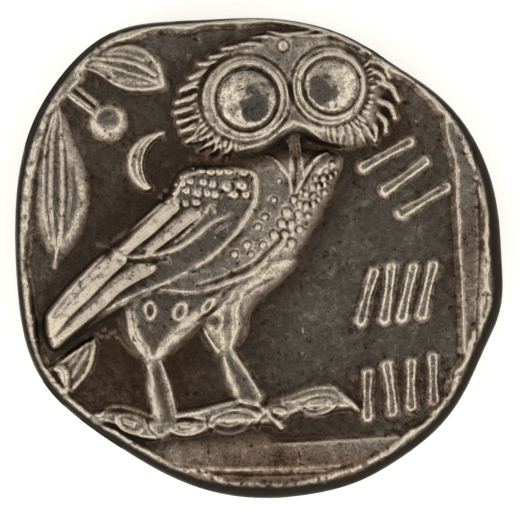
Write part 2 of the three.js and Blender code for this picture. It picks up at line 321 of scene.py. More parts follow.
# What changes round the coin, as rows of a bearing in degrees and a value. The first three are widths
# in mm: the upper face's fall to the edge, the flat between it and the punch, and the ridge's half-width.
FALL = [
    (0, 0.75), (25, 0.6), (50, 0.25), (90, 0.12), (120, 0.4), (150, 0.5), (180, 0.4), (225, 0.45),
    (250, 0.6), (270, 0.78), (295, 0.65), (330, 0.6),
]
SHELF = [
    (0, 0.3), (45, 0.08), (90, 0.08), (115, 0.1), (135, 0.3), (155, 0.35), (180, 0.2), (225, 0.1),
    (250, 0.2), (270, 0.5), (290, 0.3), (315, 0.1),
]
RIDGE_SPREAD = [
    (0, 0.16), (45, 0.16), (90, 0.14), (150, 0.22), (185, 0.24), (225, 0.17), (270, 0.2), (315, 0.18),
]
RIDGE_SHARPNESS = [
    (0, 0.8), (45, 0.3), (90, 0.1), (120, 0.3), (150, 0.6), (180, 1), (225, 1), (270, 0.6), (315, 0.9),
]
# The punch's right side as rows of y and x, its foot as rows of x and y, and how slowly the foot rises.
PUNCH_SIDE = [
    (-9, 14), (-5.6, 11), (-4.7, 10.3), (-3, 10.25), (-1, 10.2), (0, 10.1), (3, 9.95), (5, 9.85), (6, 9.5),
    (7, 9.35), (9, 9),
]
PUNCH_FOOT = [(-6.5, -10.9), (-4, -10.1), (1, -9.3), (7, -8.95), (8.5, -9.6)]
FOOT_SLACK = [(-0.5, 1.1), (1.2, 0.3)]


def between(value, rows):
    """What the rows say at a place, in a straight line from one row to the next."""
    at, values = zip(*rows)
    return np.interp(value, at, values)


def around(angle, rows):
    """The same round the coin, at an angle in radians."""
    bearings, values = zip(*rows)
    return np.interp(np.degrees(angle), bearings, values, period=360)


def strike_flan(r):
    """The raised ledges beside the sunk field, the ridge round the coin, and the fall to its edge."""
    angle = np.arctan2(r.y, r.x)
    fall = around(angle, FALL)
    inset = r.inset + 0.07 * grain(r.x.shape, 0.4, 3) * ease(r.inset / 0.6)
    beside = np.minimum(between(r.y, PUNCH_SIDE) - r.x, inset - fall - around(angle, SHELF)) / 0.32
    above = (r.y - between(r.x, PUNCH_FOOT)) / between(r.x, FOOT_SLACK)
    ledge = 1 - bevel(np.minimum(beside, above))
    r.z += LEDGE * ledge
    r.matt = np.maximum(r.matt, 0.5 * ledge)
    # The pushed-up ridge just inside the fall of the edge.
    spread = around(angle, RIDGE_SPREAD)
    crown = (inset - fall - 0.4 * spread) / spread
    sharp = around(angle, RIDGE_SHARPNESS)
    ragged = np.clip(1 + 0.9 * grain(r.x.shape, 0.09, 4), 0, 2)
    r.z += 0.13 * sharp * ragged * bell(np.clip(crown, -1, 1))
    r.matt = np.maximum(r.matt, sharp * bell(np.clip(crown, -1, 1)))
    # The upper face's fall to the coin's edge.
    drop = np.sqrt(np.clip(1 - (1 - np.clip(inset / fall, 0, 1)) ** 2, 0, 1))
    r.z -= (r.z + FIELD_Z - EDGE_TOP_Z) * (1 - drop)


# Brown patina, partly real and partly painted shade where the field lies darker at the left, lower left and
# upper right: middle and radii of each patch, and how strong it is.
PATINA_AND_SHADE = [
    (1, -10.6, 9, 2.4, 1),
    (-6, -6, 5, 3.6, 0.8),
    (-7.2, 4.5, 3.4, 4.5, 0.35),
    (11.2, -1, 2.2, 6.5, 0.4),
    (7.2, 7.4, 2.6, 3, 0.4),
    (6.5, -7, 4, 2.4, 0.4),
    (-1.5, 4.9, 3, 0.9, 0.7),
]


def stain_and_shade_flan(r):
    # The patches are patina, and on parts of the field painted shade.
    for x, y, rx, ry, amount in PATINA_AND_SHADE:
        where, q = r.ellipse(x, y, rx, ry)
        r.stain_and_shade[where] = np.maximum(r.stain_and_shade[where], amount * ease(1.6 * (1 - q)))


def strike_border(r):
    """The ledges' own marks: grooves, flats, cracks and nicks."""
    r.stroke([(10.7, 6), (11, 3), (11.05, 0), (10.9, -3)], (0.1, 0.16, 0.1), -0.06)
    r.stroke([(10.9, 5.2), (11.3, 3), (11.35, 0), (11.15, -3), (10.9, -4.6)], (0.12, 0.2, 0.14), 0.1)
    punch_side = [(9.35, 7.4), (9.5, 6), (9.85, 5), (9.95, 3), (10.1, 0), (10.25, -3), (10.32, -4.9)]
    r.stroke(punch_side, 0.1, 0.06)
    r.stroke([(0.8, -9.25), (3, -9.2), (5, -9.05), (7, -8.9)], 0.1, 0.03)
    r.stroke([(-4.2, -10.25), (-2, -10.5), (0, -10.5), (2, -10.45), (4, -10.3)], (0.1, 0.16, 0.1), 0.1)
    r.stroke([(-3.5, -10.65), (0, -10.8), (3.5, -10.7)], (0.1, 0.18, 0.1), -0.12)
    for x, y, dx, dy, depth in [
        (1.9, -9.3, 0.15, -1, 0.08),
        (4.3, -9.2, 0.1, -0.8, 0.08),
        (2, -10.2, 0.5, -0.3, 0.14),
        (5.8, -9.5, 0.25, -0.3, 0.12),
        (-0.9, -9.6, -0.1, -0.6, 0.06),
        (10.3, -1.6, 0.7, 0.1, 0.05),
        (10.3, 3.4, 0.5, -0.2, 0.04),
        (-12, 1.95, 0.75, -0.25, 0.14),
        (-11.5, -4.1, 0.8, -0.1, 0.16),
        (-5.9, -9.9, 0.3, 0.6, 0.14),
    ]:
        middle = (x + dx * 0.5 + 0.05, y + dy * 0.5)
        r.stroke([(x, y), middle, (x + dx, y + dy)], (0.05, 0.08, 0.05), -depth)


# ---- The owl

HEAD_OUTLINE = [
    (-3.4, 5.9), (-3.7, 7.2), (-3.5, 8.5), (-2.8, 9.7), (-1.6, 10.7), (0.1, 11.35), (2, 11.7),
    (4.2, 11.25), (5.6, 10.4), (6.2, 9.1), (6.2, 7.4), (5.8, 6), (4.4, 5.5), (3.1, 5.7), (1.8, 6),
    (0.3, 5.2), (-1.2, 4.9), (-2.6, 5.1),
]
LEFT_EYE = {
    "lid": (-0.7, 8.02, 2.2, 2.14),
    "lip": (-0.6, 8.02, 1.74, 1.8),
    "ball": (-0.58, 8.0, 1.56, 1.62),
    "lit": 140,
    "lean": (0.005, -0.06),
}
RIGHT_EYE = {
    "lid": (3.55, 8.65, 1.88, 1.95),
    "lip": (3.62, 8.66, 1.6, 1.6),
    "ball": (3.6, 8.66, 1.43, 1.45),
    "lit": 50,
    "lean": (-0.01, -0.02),
}


def strike_eye(r, lid, lip, ball, lit, lean):
    """A lid that slopes most on one side, with a painted highlight on that lit side, a crisp lip inside it,
    and a sunk, leaning ball inside that.
    """
    x, y, rx, ry = lid
    r.hoop(x, y, rx + 0.1, ry + 0.1, 0.15, -0.08)
    where, q = r.ellipse(x, y, rx, ry)
    depth = (1 - q) * math.sqrt(rx * ry)
    toward = np.cos(np.arctan2(r.y[where] - y, r.x[where] - x) - math.radians(lit)) * np.minimum(1, q / 0.7)
    r.z[where] += 0.06 * ease(depth / 0.12) + (0.16 + 0.16 * toward) * np.clip(depth, 0, 0.5)
    r.z[where] += 0.05 * bell(np.clip((depth - 0.06) / 0.12, -1, 1)) * (0.6 - 0.4 * toward)
    # Painted highlight: the lid's metal is matter and paler toward the lit side.
    r.matt[where] = np.where(q < 1, 0.3 + 0.3 * toward, r.matt[where])
    x, y, rx, ry = lip
    where, q = r.ellipse(x, y, rx, ry)
    depth = (1 - q) * math.sqrt(rx * ry)
    r.z[where] += 0.09 * bell(np.clip(depth / 0.14, -1, 1)) - 0.08 * ease((depth - 0.02) / 0.16)
    x, y, rx, ry = ball
    where, q = r.ellipse(x, y, rx, ry)
    r.bead(x, y, rx, ry, 0.2, section=swell)
    tilt = lean[0] * (r.x[where] - x) + lean[1] * (r.y[where] - y)
    r.z[where] += tilt * ease((1 - q) / 0.2)
    r.hoop(x, y, rx, ry, 0.07, -0.02)
    r.polish(x, y, rx, ry)


def strike_fuzz(r, eye, first, last, near, far):
    """Short tufts standing out from a lid, between two bearings, from near to far outside it."""
    x, y, rx, ry = eye["lid"]
    count = round((last - first) / 8)
    for i in range(count):
        bearing = math.radians(first + (last - first) * (i + 0.3 * math.sin(5.1 * i)) / count)
        reach = far + 0.1 * math.sin(2.9 * i)
        away = np.array([math.cos(bearing), math.sin(bearing)])
        side = np.array([-away[1], away[0]])
        root, tip = [(x, y) + away * (rx + d, ry + d) for d in (near, reach)]
        r.stroke([root, tip + 0.08 * side], (0.09, 0.13, 0.07), 0.1, steepest=0.9)
        r.stroke([root + 0.14 * side, tip + 0.2 * side], (0.04, 0.08, 0.05), -0.09, steepest=1)


def head_crown(x, y):
    return 1.0 - ((x - 1.5) / 5.4) ** 2 - ((y - 7.4) / 5.2) ** 2


def strike_head(r):
    r.plate(HEAD_OUTLINE, 0.96, 0.75, crown=head_crown, matt=0.5)
    r.roughen([(-0.8, 10.9), (1.2, 10.9), (3, 11)], (0.6, 0.9, 0.6), 0.7)
    r.roughen([(-2.9, 9.5), (-3, 8), (-2.8, 6.6), (-1.6, 5.7), (0.3, 5.8)], (0.5, 0.7, 0.3), 0.6)
    r.roughen([(2.8, 6.4), (4.2, 6.2), (5.4, 6.8), (5.7, 8.2), (5.5, 9.5)], (0.4, 0.7, 0.5), 0.7)
    strike_eye(r, **LEFT_EYE)
    strike_eye(r, **RIGHT_EYE)
    r.bead(1.2, 10.65, 0.25, 0.25, 0.1, section=table)
    r.hoop(1.2, 10.65, 0.32, 0.32, 0.09, -0.07)
    for points in [
        [(0.4, 11.45), (1.2, 11.25), (1.9, 11.28), (3, 11.5)],
        [(1.9, 11.12), (3, 11.2), (4.1, 11.25)],
        [(-0.3, 11.12), (0.4, 11.15), (0.95, 11.03)],
        [(-1, 10.75), (-0.3, 10.8), (0.2, 10.7)],
    ]:
        r.stroke(points, (0.08, 0.17, 0.08), 0.2, steepest=1)
    # The lines that run together over the beak, and the head's lower edge.
    r.strokes([
        ([(1.72, 6.85), (1.2, 6.5), (0.7, 6.12), (0.1, 5.75), (-1.1, 5.4)], 0.1, 0.12),
        ([(1.72, 6.85), (2.3, 6.6), (2.9, 6.15), (3.4, 5.85), (4.3, 5.75)], 0.11, 0.13),
        ([(1.5, 5.9), (0.8, 5.62), (0, 5.35), (-1.4, 5.12), (-3.4, 5)], 0.09, 0.14),
        ([(1.6, 8.3), (1.45, 7.3), (0.9, 6.7), (0.2, 6.3)], 0.08, 0.06),
    ])
    # Tufts of the cheeks.
    strike_fuzz(r, LEFT_EYE, 160, 215, 0.2, 0.45)
    strike_fuzz(r, LEFT_EYE, 212, 268, 0.1, 0.65)
    strike_fuzz(r, RIGHT_EYE, -100, -28, 0.12, 0.55)
    strike_fuzz(r, RIGHT_EYE, -28, 40, 0.1, 0.4)
    strike_fuzz(r, LEFT_EYE, 200, 262, 0.6, 0.95)
    strike_fuzz(r, RIGHT_EYE, -92, -42, 0.5, 0.85)
    for root, tip in [
        ((-2.5, 6.2), (-3.3, 5.8)), ((-2.2, 5.95), (-3.1, 5.4)), ((-1.9, 5.7), (-2.6, 5.15)),
        ((-1.5, 5.5), (-2, 5.05)), ((4.1, 6.2), (4.05, 5.65)), ((4.6, 6.35), (4.7, 5.7)),
        ((5, 6.5), (5.35, 5.8)), ((5.4, 6.6), (5.85, 5.75)),
    ]:
        r.stroke([root, tip], (0.1, 0.18, 0.1), 0.15, steepest=0.9)
        r.stroke([(root[0] + 0.17, root[1] - 0.14), (tip[0] + 0.2, tip[1] - 0.12)], 0.07, -0.1, steepest=1)


# Feather tips standing out round the face: from the root to the tip.
RUFF = [
    ((-2.2, 9.85), (-2.95, 9.75)), ((-1.5, 10.3), (-2.4, 10.1)), ((-0.4, 10.8), (-1.8, 10.5)),
    ((-2.7, 9.4), (-3.45, 9.05)), ((-3.1, 8.85), (-3.9, 8.45)), ((-3.1, 8.2), (-4.1, 7.85)),
    ((-3.1, 7.7), (-4.15, 7.35)), ((-3.1, 7.2), (-4.05, 6.85)), ((-3, 6.75), (-3.85, 6.4)),
    ((-2.9, 6.35), (-3.6, 5.9)), ((5.1, 10.4), (6.2, 10)), ((5.5, 9.95), (6.5, 9.15)),
    ((5.6, 9.5), (6.35, 8.6)), ((5.9, 8.9), (6.95, 8)), ((5.9, 7.95), (6.8, 7.1)),
    ((5.9, 7.3), (6.35, 6.4)), ((5.4, 7), (5.85, 6)),
]


def strike_ruff(r):
    """The tips curl a little on the right of the face, and are almost straight on its left."""
    for (x0, y0), (x1, y1) in RUFF:
        bend = 0.18 if x0 > 0 else 0.03
        middle = (0.5 * (x0 + x1) - bend * (y1 - y0), 0.5 * (y0 + y1) + bend * (x1 - x0))
        r.bank([(x0, y0), middle, (x1, y1)], (0.28, 0.29, 0.2), 0.34)
        r.stroke([(x0, y0), middle, (x1, y1)], (0.1, 0.16, 0.1), 0.08)


# The ridge along the wing's front edge, and the wing's outline a little outside it.
WING_FRONT = [
    (-1.6, 4.62), (-0.7, 4.5), (-0.22, 4.15), (-0.12, 3.5), (-0.2, 2.8), (-0.55, 2.1), (-1.05, 1.4),
    (-2, 0.4), (-3, -0.3), (-4, -0.85), (-4.8, -1.25), (-6, -1.95), (-7, -2.45), (-8.3, -3.3),
    (-9.4, -4),
]
WING = [
    (-0.3, 4.75), (0.25, 4.35), (0.38, 3.5), (0.25, 2.7), (-0.15, 1.9), (-0.7, 1.15), (-1.75, 0.1),
    (-2.8, -0.6), (-3.85, -1.15), (-4.7, -1.6), (-6.3, -2.3), (-8.1, -3.3), (-9.5, -4.15), (-10.4, -4.6),
    (-10.85, -3), (-9.6, -1.35), (-8.1, 0.1), (-7.4, 0.6), (-5.2, 2.75), (-4.6, 3.3), (-3.9, 4.5),
    (-2, 4.85),
]
TRUNK = [
    (4, 5.2), (3.7, 3.6), (3.2, 2.5), (2.6, 1.4), (1.95, 0.3), (1.35, -0.6), (0.7, -1.4), (-1.2, -2.2),
    (-4, -2.6), (-6, -2.1), (-5, 0.5), (-3.6, 3.4), (-3, 4.9), (0.5, 5.6),
]
LEFT_THIGH = [
    (-7, -2.3), (-6.95, -3.3), (-6.7, -4.1), (-6.1, -4.9), (-5.6, -5.5), (-5, -5.4), (-4.4, -4.8),
    (-3.7, -4.15), (-3, -3.5), (-2.3, -3), (-1.5, -2.4), (-1.3, -1.2), (-3.6, -0.7), (-6, -1),
]
RIGHT_THIGH = [
    (-3, -3.3), (-2.8, -4.1), (-2.1, -4.9), (-1.5, -5), (-1, -4.35), (-0.55, -3.6), (-0.5, -2.9),
    (-0.1, -2.1), (0.9, -1.3), (1.9, -0.1), (0.7, 0.6), (-0.8, 0), (-1.8, -0.9), (-2.6, -2.2),
]


def strike_body(r):
    r.plate(TRUNK, 0.64, 1.2, matt=0.7)
    r.plate(LEFT_THIGH, 0.54, 0.85, matt=-0.9)
    r.plate(RIGHT_THIGH, 0.62, 1.0)
    r.plate(WING, 0.74, 0.45, matt=-0.9)
    r.stroke(WING_FRONT[:8], (0.08, 0.24, 0.14), 0.14)
    r.stroke(WING_FRONT[6:], (0.16, 0.13, 0.06), 0.11)
    r.roughen(WING_FRONT, (0.12, 0.16, 0.08), 0.8)
    breast = [(2.6, 3.4), (1.9, 1.6), (0.8, -0.4), (-0.8, -1.8), (-1.2, -3.2), (-1.4, -4.4)]
    r.roughen(breast, (0.7, 0.9, 0.4), 0.8)
    r.roughen([(-0.6, -1.3), (-2.2, -2.6), (-3.6, -3.5), (-4.6, -4.4)], (0.4, 0.5, 0.4), 0.8)
    r.roughen([(-6.7, -2.6), (-6.5, -3.7), (-6, -4.5), (-5.4, -5.3)], 0.4, 0.8)
    # The fold that the flank makes over the thighs.
    fold = [
        (1.3, 0.85), (0.5, 0.05), (-0.3, -0.65), (-1.3, -1.08), (-2.1, -1.4), (-3, -1.6), (-3.9, -1.6),
        (-4.9, -1.5),
    ]
    r.stroke(fold, (0.2, 0.2, 0.14), 0.12)
    r.stroke([(x - 0.15, y + 0.25) for x, y in fold[:-2]], (0.2, 0.24, 0.1), -0.12)
    # Folds of the right thigh, and the hollow between the thighs.
    r.stroke([(0.75, -0.95), (-0.2, -1.4), (-1, -2), (-1.6, -2.25)], (0.1, 0.12, 0.1), -0.12)
    r.stroke([(-1.5, -1.9), (-2.2, -2.5), (-3, -3.1)], (0.1, 0.14, 0.12), -0.14)
    r.stroke([(-0.9, -1.9), (-1.15, -2.6), (-1.1, -3.4), (-1.4, -4.4)], (0.2, 0.4, 0.2), 0.2)
    r.bead(-2.2, -3.1, 0.45, 0.4, -0.2, 20)
    r.stroke([(-2.8, -3.5), (-2.5, -4), (-2.1, -4.6)], (0.14, 0.2, 0.2), 0.14)
    r.stroke([(-1.75, -3), (-1.9, -3.5), (-1.8, -4)], (0.07, 0.1, 0.07), 0.1)
    right_side = [(-1.9, -2.1), (-2.5, -2.65), (-3.5, -3.35), (-4.4, -4.1), (-5.0, -4.8)]
    left_side = [(-6.65, -2.4), (-6.5, -3.1), (-6.4, -3.8), (-6.1, -4.3), (-5.6, -5.0)]
    for side in (right_side, left_side):
        r.stroke(side, (0.3, 0.4, 0.26), 0.06)
        r.roughen(side, (0.45, 0.6, 0.35), 1.1)
        for shift in (-0.2, 0.05, 0.24):
            r.stroke([(x + shift, y + 0.3 * shift) for x, y in side], (0.03, 0.07, 0.03), -0.05, steepest=1)
    r.stroke([(-5.5, -4.4), (-5.45, -4.8), (-5.2, -4.9), (-5, -4.4)], 0.1, 0.05)


# Flight feathers: line, half-width, height and cross-section.
WING_BANDS = [
    ([(-7.75, 0.3), (-8.6, -0.55), (-9.6, -1.6), (-10.55, -2.85)], (0.12, 0.22, 0.2), 0.2, swell),
    ([(-6.9, 0), (-8, -0.95), (-9.5, -2.45), (-10.4, -3.65)], (0.38, 0.5, 0.32), 0.4, tile),
    ([(-5.5, -0.4), (-7, -1.2), (-8, -2.05), (-9.5, -3.45), (-10.15, -4.15)],
     (0.42, 0.55, 0.36), 0.45, tile),
    ([(-4.95, 2.75), (-6, 1.85), (-7.3, 0.85)], (0.1, 0.14, 0.1), 0.14, swell),
    ([(-4.25, 2.6), (-5.3, 1.7), (-6.6, 0.55)], (0.33, 0.42, 0.33), 0.4, tile),
    ([(-3.2, 2.3), (-4.3, 1.5), (-5.5, 0.5)], (0.33, 0.42, 0.3), 0.4, tile),
    ([(-2.4, 2.7), (-3.2, 1.75), (-4.2, 0.85)], (0.07, 0.12, 0.07), 0.1, swell),
]


def strike_feathers(r):
    for points, half, height, section in WING_BANDS:
        r.stroke(points, half, height, section, steepest=0.95)
        r.roughen(points, [h * 1.1 for h in half], 1.2)
        if section is tile:
            r.stroke([(x - 0.08, y + 0.08) for x, y in points], (0.03, 0.06, 0.03), -0.07, steepest=1)
    coverts = [
        (-8.1, 0.75), (-7.4, 0.55), (-6.8, 0.2), (-6, 0.12), (-5, 0.27), (-4, 0.6), (-3.1, 1.2),
        (-2.3, 1.85), (-1.5, 2.2),
    ]
    r.stroke(coverts, (0.08, 0.22, 0.06), 0.15, steepest=0.8)
    r.roughen(coverts, 0.2)
    r.stroke([(-7, -0.1), (-6, -0.13), (-5.2, -0.1), (-4.6, 0)], 0.12, -0.12, steepest=0.8)
    r.stroke([(-2.1, 2.95), (-2.3, 2.6), (-2.15, 2.25)], (0.08, 0.12, 0.08), 0.12)
    r.stroke([(-2.95, 2.85), (-2.9, 2.5), (-2.6, 2.3)], (0.08, 0.12, 0.08), 0.12)
    r.stroke([(-2.2, 1.2), (-1.9, 1.6), (-1.4, 1.8)], (0.06, 0.12, 0.06), 0.05)
    # Bare arcs on the flank.
    for points in [
        [(-4.8, -1.3), (-3.7, -0.85), (-2.7, -0.55), (-2.35, -0.65), (-2.4, -1)],
        [(-2.15, -0.6), (-1.9, -0.45), (-1.6, -0.5), (-1.5, -0.65)],
        [(-4.55, -1.2), (-4.2, -1.5), (-4, -1.6)],
        [(-1.2, -0.6), (-0.8, -0.35), (-0.4, -0.2), (-0.3, -0.4)],
    ]:
        r.stroke(points, 0.07, 0.07)


# Rounded feathers of the shoulder, as x, y and radius.
SHOULDER = [
    (-3.3, 4.6, 0.14), (-2.85, 4.45, 0.16), (-2.4, 4.35, 0.19), (-2, 4.35, 0.18), (-1.5, 4.35, 0.18),
    (-0.75, 4.3, 0.2), (-3.8, 3.72, 0.13), (-3.4, 3.85, 0.14), (-2.75, 3.82, 0.18), (-2.32, 3.72, 0.19),
    (-1.62, 3.62, 0.26), (-0.85, 3.65, 0.25), (-3.62, 3.4, 0.16), (-3.05, 3.3, 0.21), (-2.6, 3.28, 0.18),
    (-2.2, 3.22, 0.2), (-1.25, 3.25, 0.24), (-0.65, 3.2, 0.2), (-3.95, 4.15, 0.14), (-4.25, 3.75, 0.15),
    (-4.6, 3.4, 0.15), (-4.9, 3.1, 0.15), (-4.55, 2.95, 0.16), (-4.1, 2.85, 0.17), (-3.65, 2.75, 0.16),
    (-3.15, 2.8, 0.18), (-4.3, 3.3, 0.12),
]
# Scale feathers of the breast, as x, y and radius.
BREAST = [
    (3.7, 4.75, 0.16), (3.4, 4.35, 0.15), (3.85, 4.3, 0.13), (2.85, 4, 0.15), (3.25, 3.95, 0.19),
    (3.6, 4.1, 0.14), (2.7, 3.55, 0.17), (3, 3.6, 0.15), (3.3, 3.7, 0.14), (3.3, 3.3, 0.15),
    (2.35, 3.25, 0.14), (2.75, 3.1, 0.17), (3, 2.95, 0.13), (2.4, 2.6, 0.19), (2.75, 2.7, 0.18),
    (1.75, 2.95, 0.17), (2, 2.2, 0.19), (2.45, 2.15, 0.13), (1.4, 2.3, 0.22), (1.15, 1.75, 0.2),
    (1.65, 1.7, 0.2), (2.05, 1.45, 0.18), (1.3, 1.2, 0.2), (0.75, 1.2, 0.19), (1.65, 0.75, 0.22),
    (2.1, 3.35, 0.12), (2.05, 2.75, 0.14),
]
# Rings on the thighs: middle, radii and turn.
THIGH_RINGS = [(-5.45, -2.55, 0.24, 0.4, 4), (-3.95, -2.6, 0.27, 0.42, -25), (-2.55, -2.35, 0.18, 0.4, -35)]
# Fainter ones behind them, on the flat of the breast.
FAINT = [
    (0.75, 2.95, 0.17), (1, 3.9, 0.15), (0.3, 2.1, 0.2), (-0.05, 1.6, 0.2), (-0.6, 0.7, 0.22),
    (0.2, 0.7, 0.2), (-1.25, 0.22, 0.22), (-0.4, 0.22, 0.18),
]


def strike_scales(r):
    for x, y, radius in SHOULDER:
        r.bead(x, y, radius * 1.25, radius * 1.15, 0.6 * radius, turn=-20, section=swell)
        r.stroke(ring_points(x, y, radius * 1.3, radius * 1.2, -20, -120, 60, 9), 0.07, -0.07, steepest=1)
    for x, y, radius in BREAST:
        r.bead(x, y, radius * 1.15, radius * 1.35, 0.75 * radius, turn=20)
        r.stroke(ring_points(x, y, radius * 1.2, radius * 1.4, 20, 0, 190, 9), 0.08, -0.1, steepest=1)
    for x, y, radius in FAINT:
        r.stroke(ring_points(x, y, radius, radius, 0, -60, 190, 10), 0.08, -0.11, steepest=1)
        r.bead(x, y, radius * 0.8, radius * 0.8, 0.09)
    for x, y, rx, ry, turn in THIGH_RINGS:
        r.hoop(x, y, rx, ry, 0.1, 0.12, turn)
        r.bead(x, y, rx * 0.8, ry * 0.8, -0.08, turn)


def strike_beak(r):
    r.bank([(1.7, 6.6), (1.8, 5.6), (1.85, 4.7), (1.78, 3.5)], (0.45, 0.36, 0.16), 0.82, section=ramp)
    r.strokes([
        ([(1.4, 5.9), (1.55, 5.3), (1.6, 4.7), (1.55, 4.1), (1.62, 3.4)], 0.1, 0.1),
        ([(2, 6.1), (2.1, 5.4), (2.12, 4.9), (2.2, 4.3)], 0.11, 0.1),
        ([(1.75, 6), (1.82, 5.2), (1.85, 4.4), (1.78, 3.7)], (0.14, 0.12, 0.08), -0.1),
        ([(3.4, 5.35), (2.9, 5.1), (2.5, 4.6), (2.2, 4), (1.9, 3.35)], (0.18, 0.22, 0.12), 0.16),
        ([(0.4, 5.2), (0.9, 4.9), (1.2, 4.5), (1.5, 4.1), (1.6, 3.55)], 0.12, 0.1),
        ([(2.75, 4.6), (2.45, 4.1), (2.15, 3.6)], 0.08, -0.08),
    ], steepest=0.9)


def strike_legs(r):
    for points, half in [
        ([(-5.3, -4.8), (-5, -6.5), (-4.65, -8)], (0.4, 0.68, 0.7)),
        ([(-1.65, -4.5), (-1.1, -5.8), (-0.45, -7.1)], (0.4, 0.64, 0.75)),
    ]:
        r.bank(points, half, 0.3, section=shin)
    r.strokes([
        ([(-6.95, -3.9), (-6.5, -4.5), (-5.9, -5), (-5.5, -5.6), (-5.35, -6.3)], 0.14, 0.1),
        ([(-4.95, -5), (-4.7, -5.7), (-4.4, -6.7), (-4.15, -7.8)], (0.1, 0.14, 0.12), 0.07),
        ([(-1.35, -4.6), (-0.75, -5.5), (-0.25, -6.3), (0.1, -6.9)], (0.12, 0.16, 0.12), 0.09),
        ([(-0.95, -4.7), (-0.35, -5.6), (0.15, -6.3)], 0.06, 0.05),
    ])
    r.roughen([(-5.6, -5.3), (-5.4, -6.3), (-5.1, -7.9)], 0.34, 1.2)
    r.roughen([(-4.85, -5.2), (-4.5, -6.5), (-4.2, -7.8)], 0.2, 0.8)
    r.roughen([(-2, -4.9), (-1.7, -5.6), (-1.15, -6.8)], 0.26, 1.1)
    r.roughen([(-1.3, -4.7), (-0.7, -5.6), (-0.1, -6.6)], 0.2, 0.9)


# Toes: line, half-width and height. Then the pads: middle, radii and turn.
TOES = [
    ([(-8.1, -7.9), (-7.3, -8), (-6.2, -8.35), (-5.2, -8.6), (-4.6, -8.5)], (0.3, 0.62, 0.45), 0.3),
    ([(-5.2, -8.4), (-4, -8.4), (-3, -8.4), (-2.3, -8.2)], (0.4, 0.58, 0.3), 0.3),
    ([(-4.2, -7.85), (-2.4, -7.8), (-0.8, -7.8), (0.6, -8), (1.1, -8.4)], (0.25, 0.75, 0.25), 0.34),
    ([(0.3, -7.6), (1, -7.6), (1.8, -7.4)], (0.35, 0.5, 0.4), 0.3),
    ([(1.3, -7.3), (2.9, -7.1), (4.4, -7.2), (5, -7.6)], (0.35, 0.75, 0.15), 0.34),
]
PADS = [
    (-6.5, -8.25, 0.62, 0.28, -14),
    (-3.55, -8.35, 0.78, 0.33, 4),
    (-1.4, -8.1, 0.9, 0.42, 7),
    (1, -7.68, 0.48, 0.3, 2),
    (2.95, -7.28, 0.8, 0.36, 10),
]


def strike_claws(r):
    for points, half, top in TOES:
        r.bank(points, half, 1.15 * top, section=ramp)
        r.roughen(points, half, 0.6)
    r.strokes([
        ([(-5.6, -8.05), (-5.5, -8.5), (-5.2, -8.85)], 0.12, -0.1),
        ([(-2.45, -7.85), (-2.6, -8.3), (-2.4, -8.7)], 0.12, -0.12),
        ([(-0.1, -8.5), (0.1, -8.05), (0.4, -7.75)], 0.12, -0.12),
        ([(-8, -7.8), (-7.6, -7.5), (-7, -7.4), (-6.2, -7.6), (-5.4, -7.9)], 0.15, 0.1),
        ([(-7.1, -8), (-6.8, -8.5), (-6, -8.85), (-5.3, -8.95)], (0.14, 0.24, 0.2), 0.12),
        ([(-4.1, -7.9), (-3, -7.6), (-1.9, -7.3), (-0.9, -7.12), (-0.1, -7.3), (0.5, -7.8), (1.15, -8.5)],
         (0.14, 0.22, 0.14), 0.12),
        ([(-2.3, -7.9), (-1.5, -7.62), (-0.7, -7.5), (0, -7.85)], 0.1, 0.08),
        ([(0.5, -7.2), (1.5, -6.85), (2.6, -6.5), (3.5, -6.42), (4.2, -6.75), (4.9, -7.5)],
         (0.12, 0.22, 0.22), 0.14),
        ([(1.7, -7.15), (2.3, -6.9), (2.9, -6.8)], 0.08, 0.08),
    ], gain=1.25, steepest=0.8)
    for x, y, rx, ry, turn in PADS:
        r.bead(x, y, rx * 0.9, ry * 0.9, 0.09, turn, section=swell)
        above = ring_points(x, y, rx, ry, turn, 20, 165, 9)
        below = ring_points(x, y - 0.06, rx * 1.1, ry * 1.25, turn, 185, 350, 9)
        inside = ring_points(x - 0.1, y, rx * 0.5, ry * 0.45, turn, 150, 330, 7)
        r.stroke(above, (0.05, 0.1, 0.05), -0.1, steepest=1)
        r.stroke(below, (0.08, 0.16, 0.08), 0.1, steepest=0.9)
        r.stroke(inside, (0.04, 0.1, 0.05), -0.1, steepest=1)


def strike_tail(r):
    leaf = [
        (-10.4, -5.5), (-9.8, -4.85), (-9.2, -4.4), (-8.2, -3.9), (-8.15, -5), (-8.6, -5.95),
        (-9.5, -6.85),
    ]
    r.plate(leaf, 0.26, 0.26)
    r.strokes([
        ([(-10.4, -5.5), (-9.85, -5.6), (-9.65, -6.6)], (0.2, 0.35, 0.2), 0.14),
        ([(-9.8, -5.1), (-9.3, -4.7), (-8.6, -4.2)], 0.1, 0.1),
        ([(-9.5, -5.35), (-9.2, -4.95), (-8.95, -4.5)], 0.06, 0.08),
        ([(-9.25, -6.45), (-8.75, -5.9), (-8.4, -5.2), (-8.2, -4.3)], 0.12, 0.13),
        ([(-9.35, -5.9), (-8.95, -5.2), (-8.6, -4.6)], 0.08, 0.09),
    ], gain=1.3, steepest=0.9, matt=0.9)
    # Pebbles of metal over the leaf.
    for i in range(9):
        x, y = -8.1 + 0.17 * i, -3.72 - 0.2 * math.sin(2.4 * i)
        r.bead(x, y, 0.13, 0.11, 0.1, turn=40 * i)


# ---- What surrounds the owl


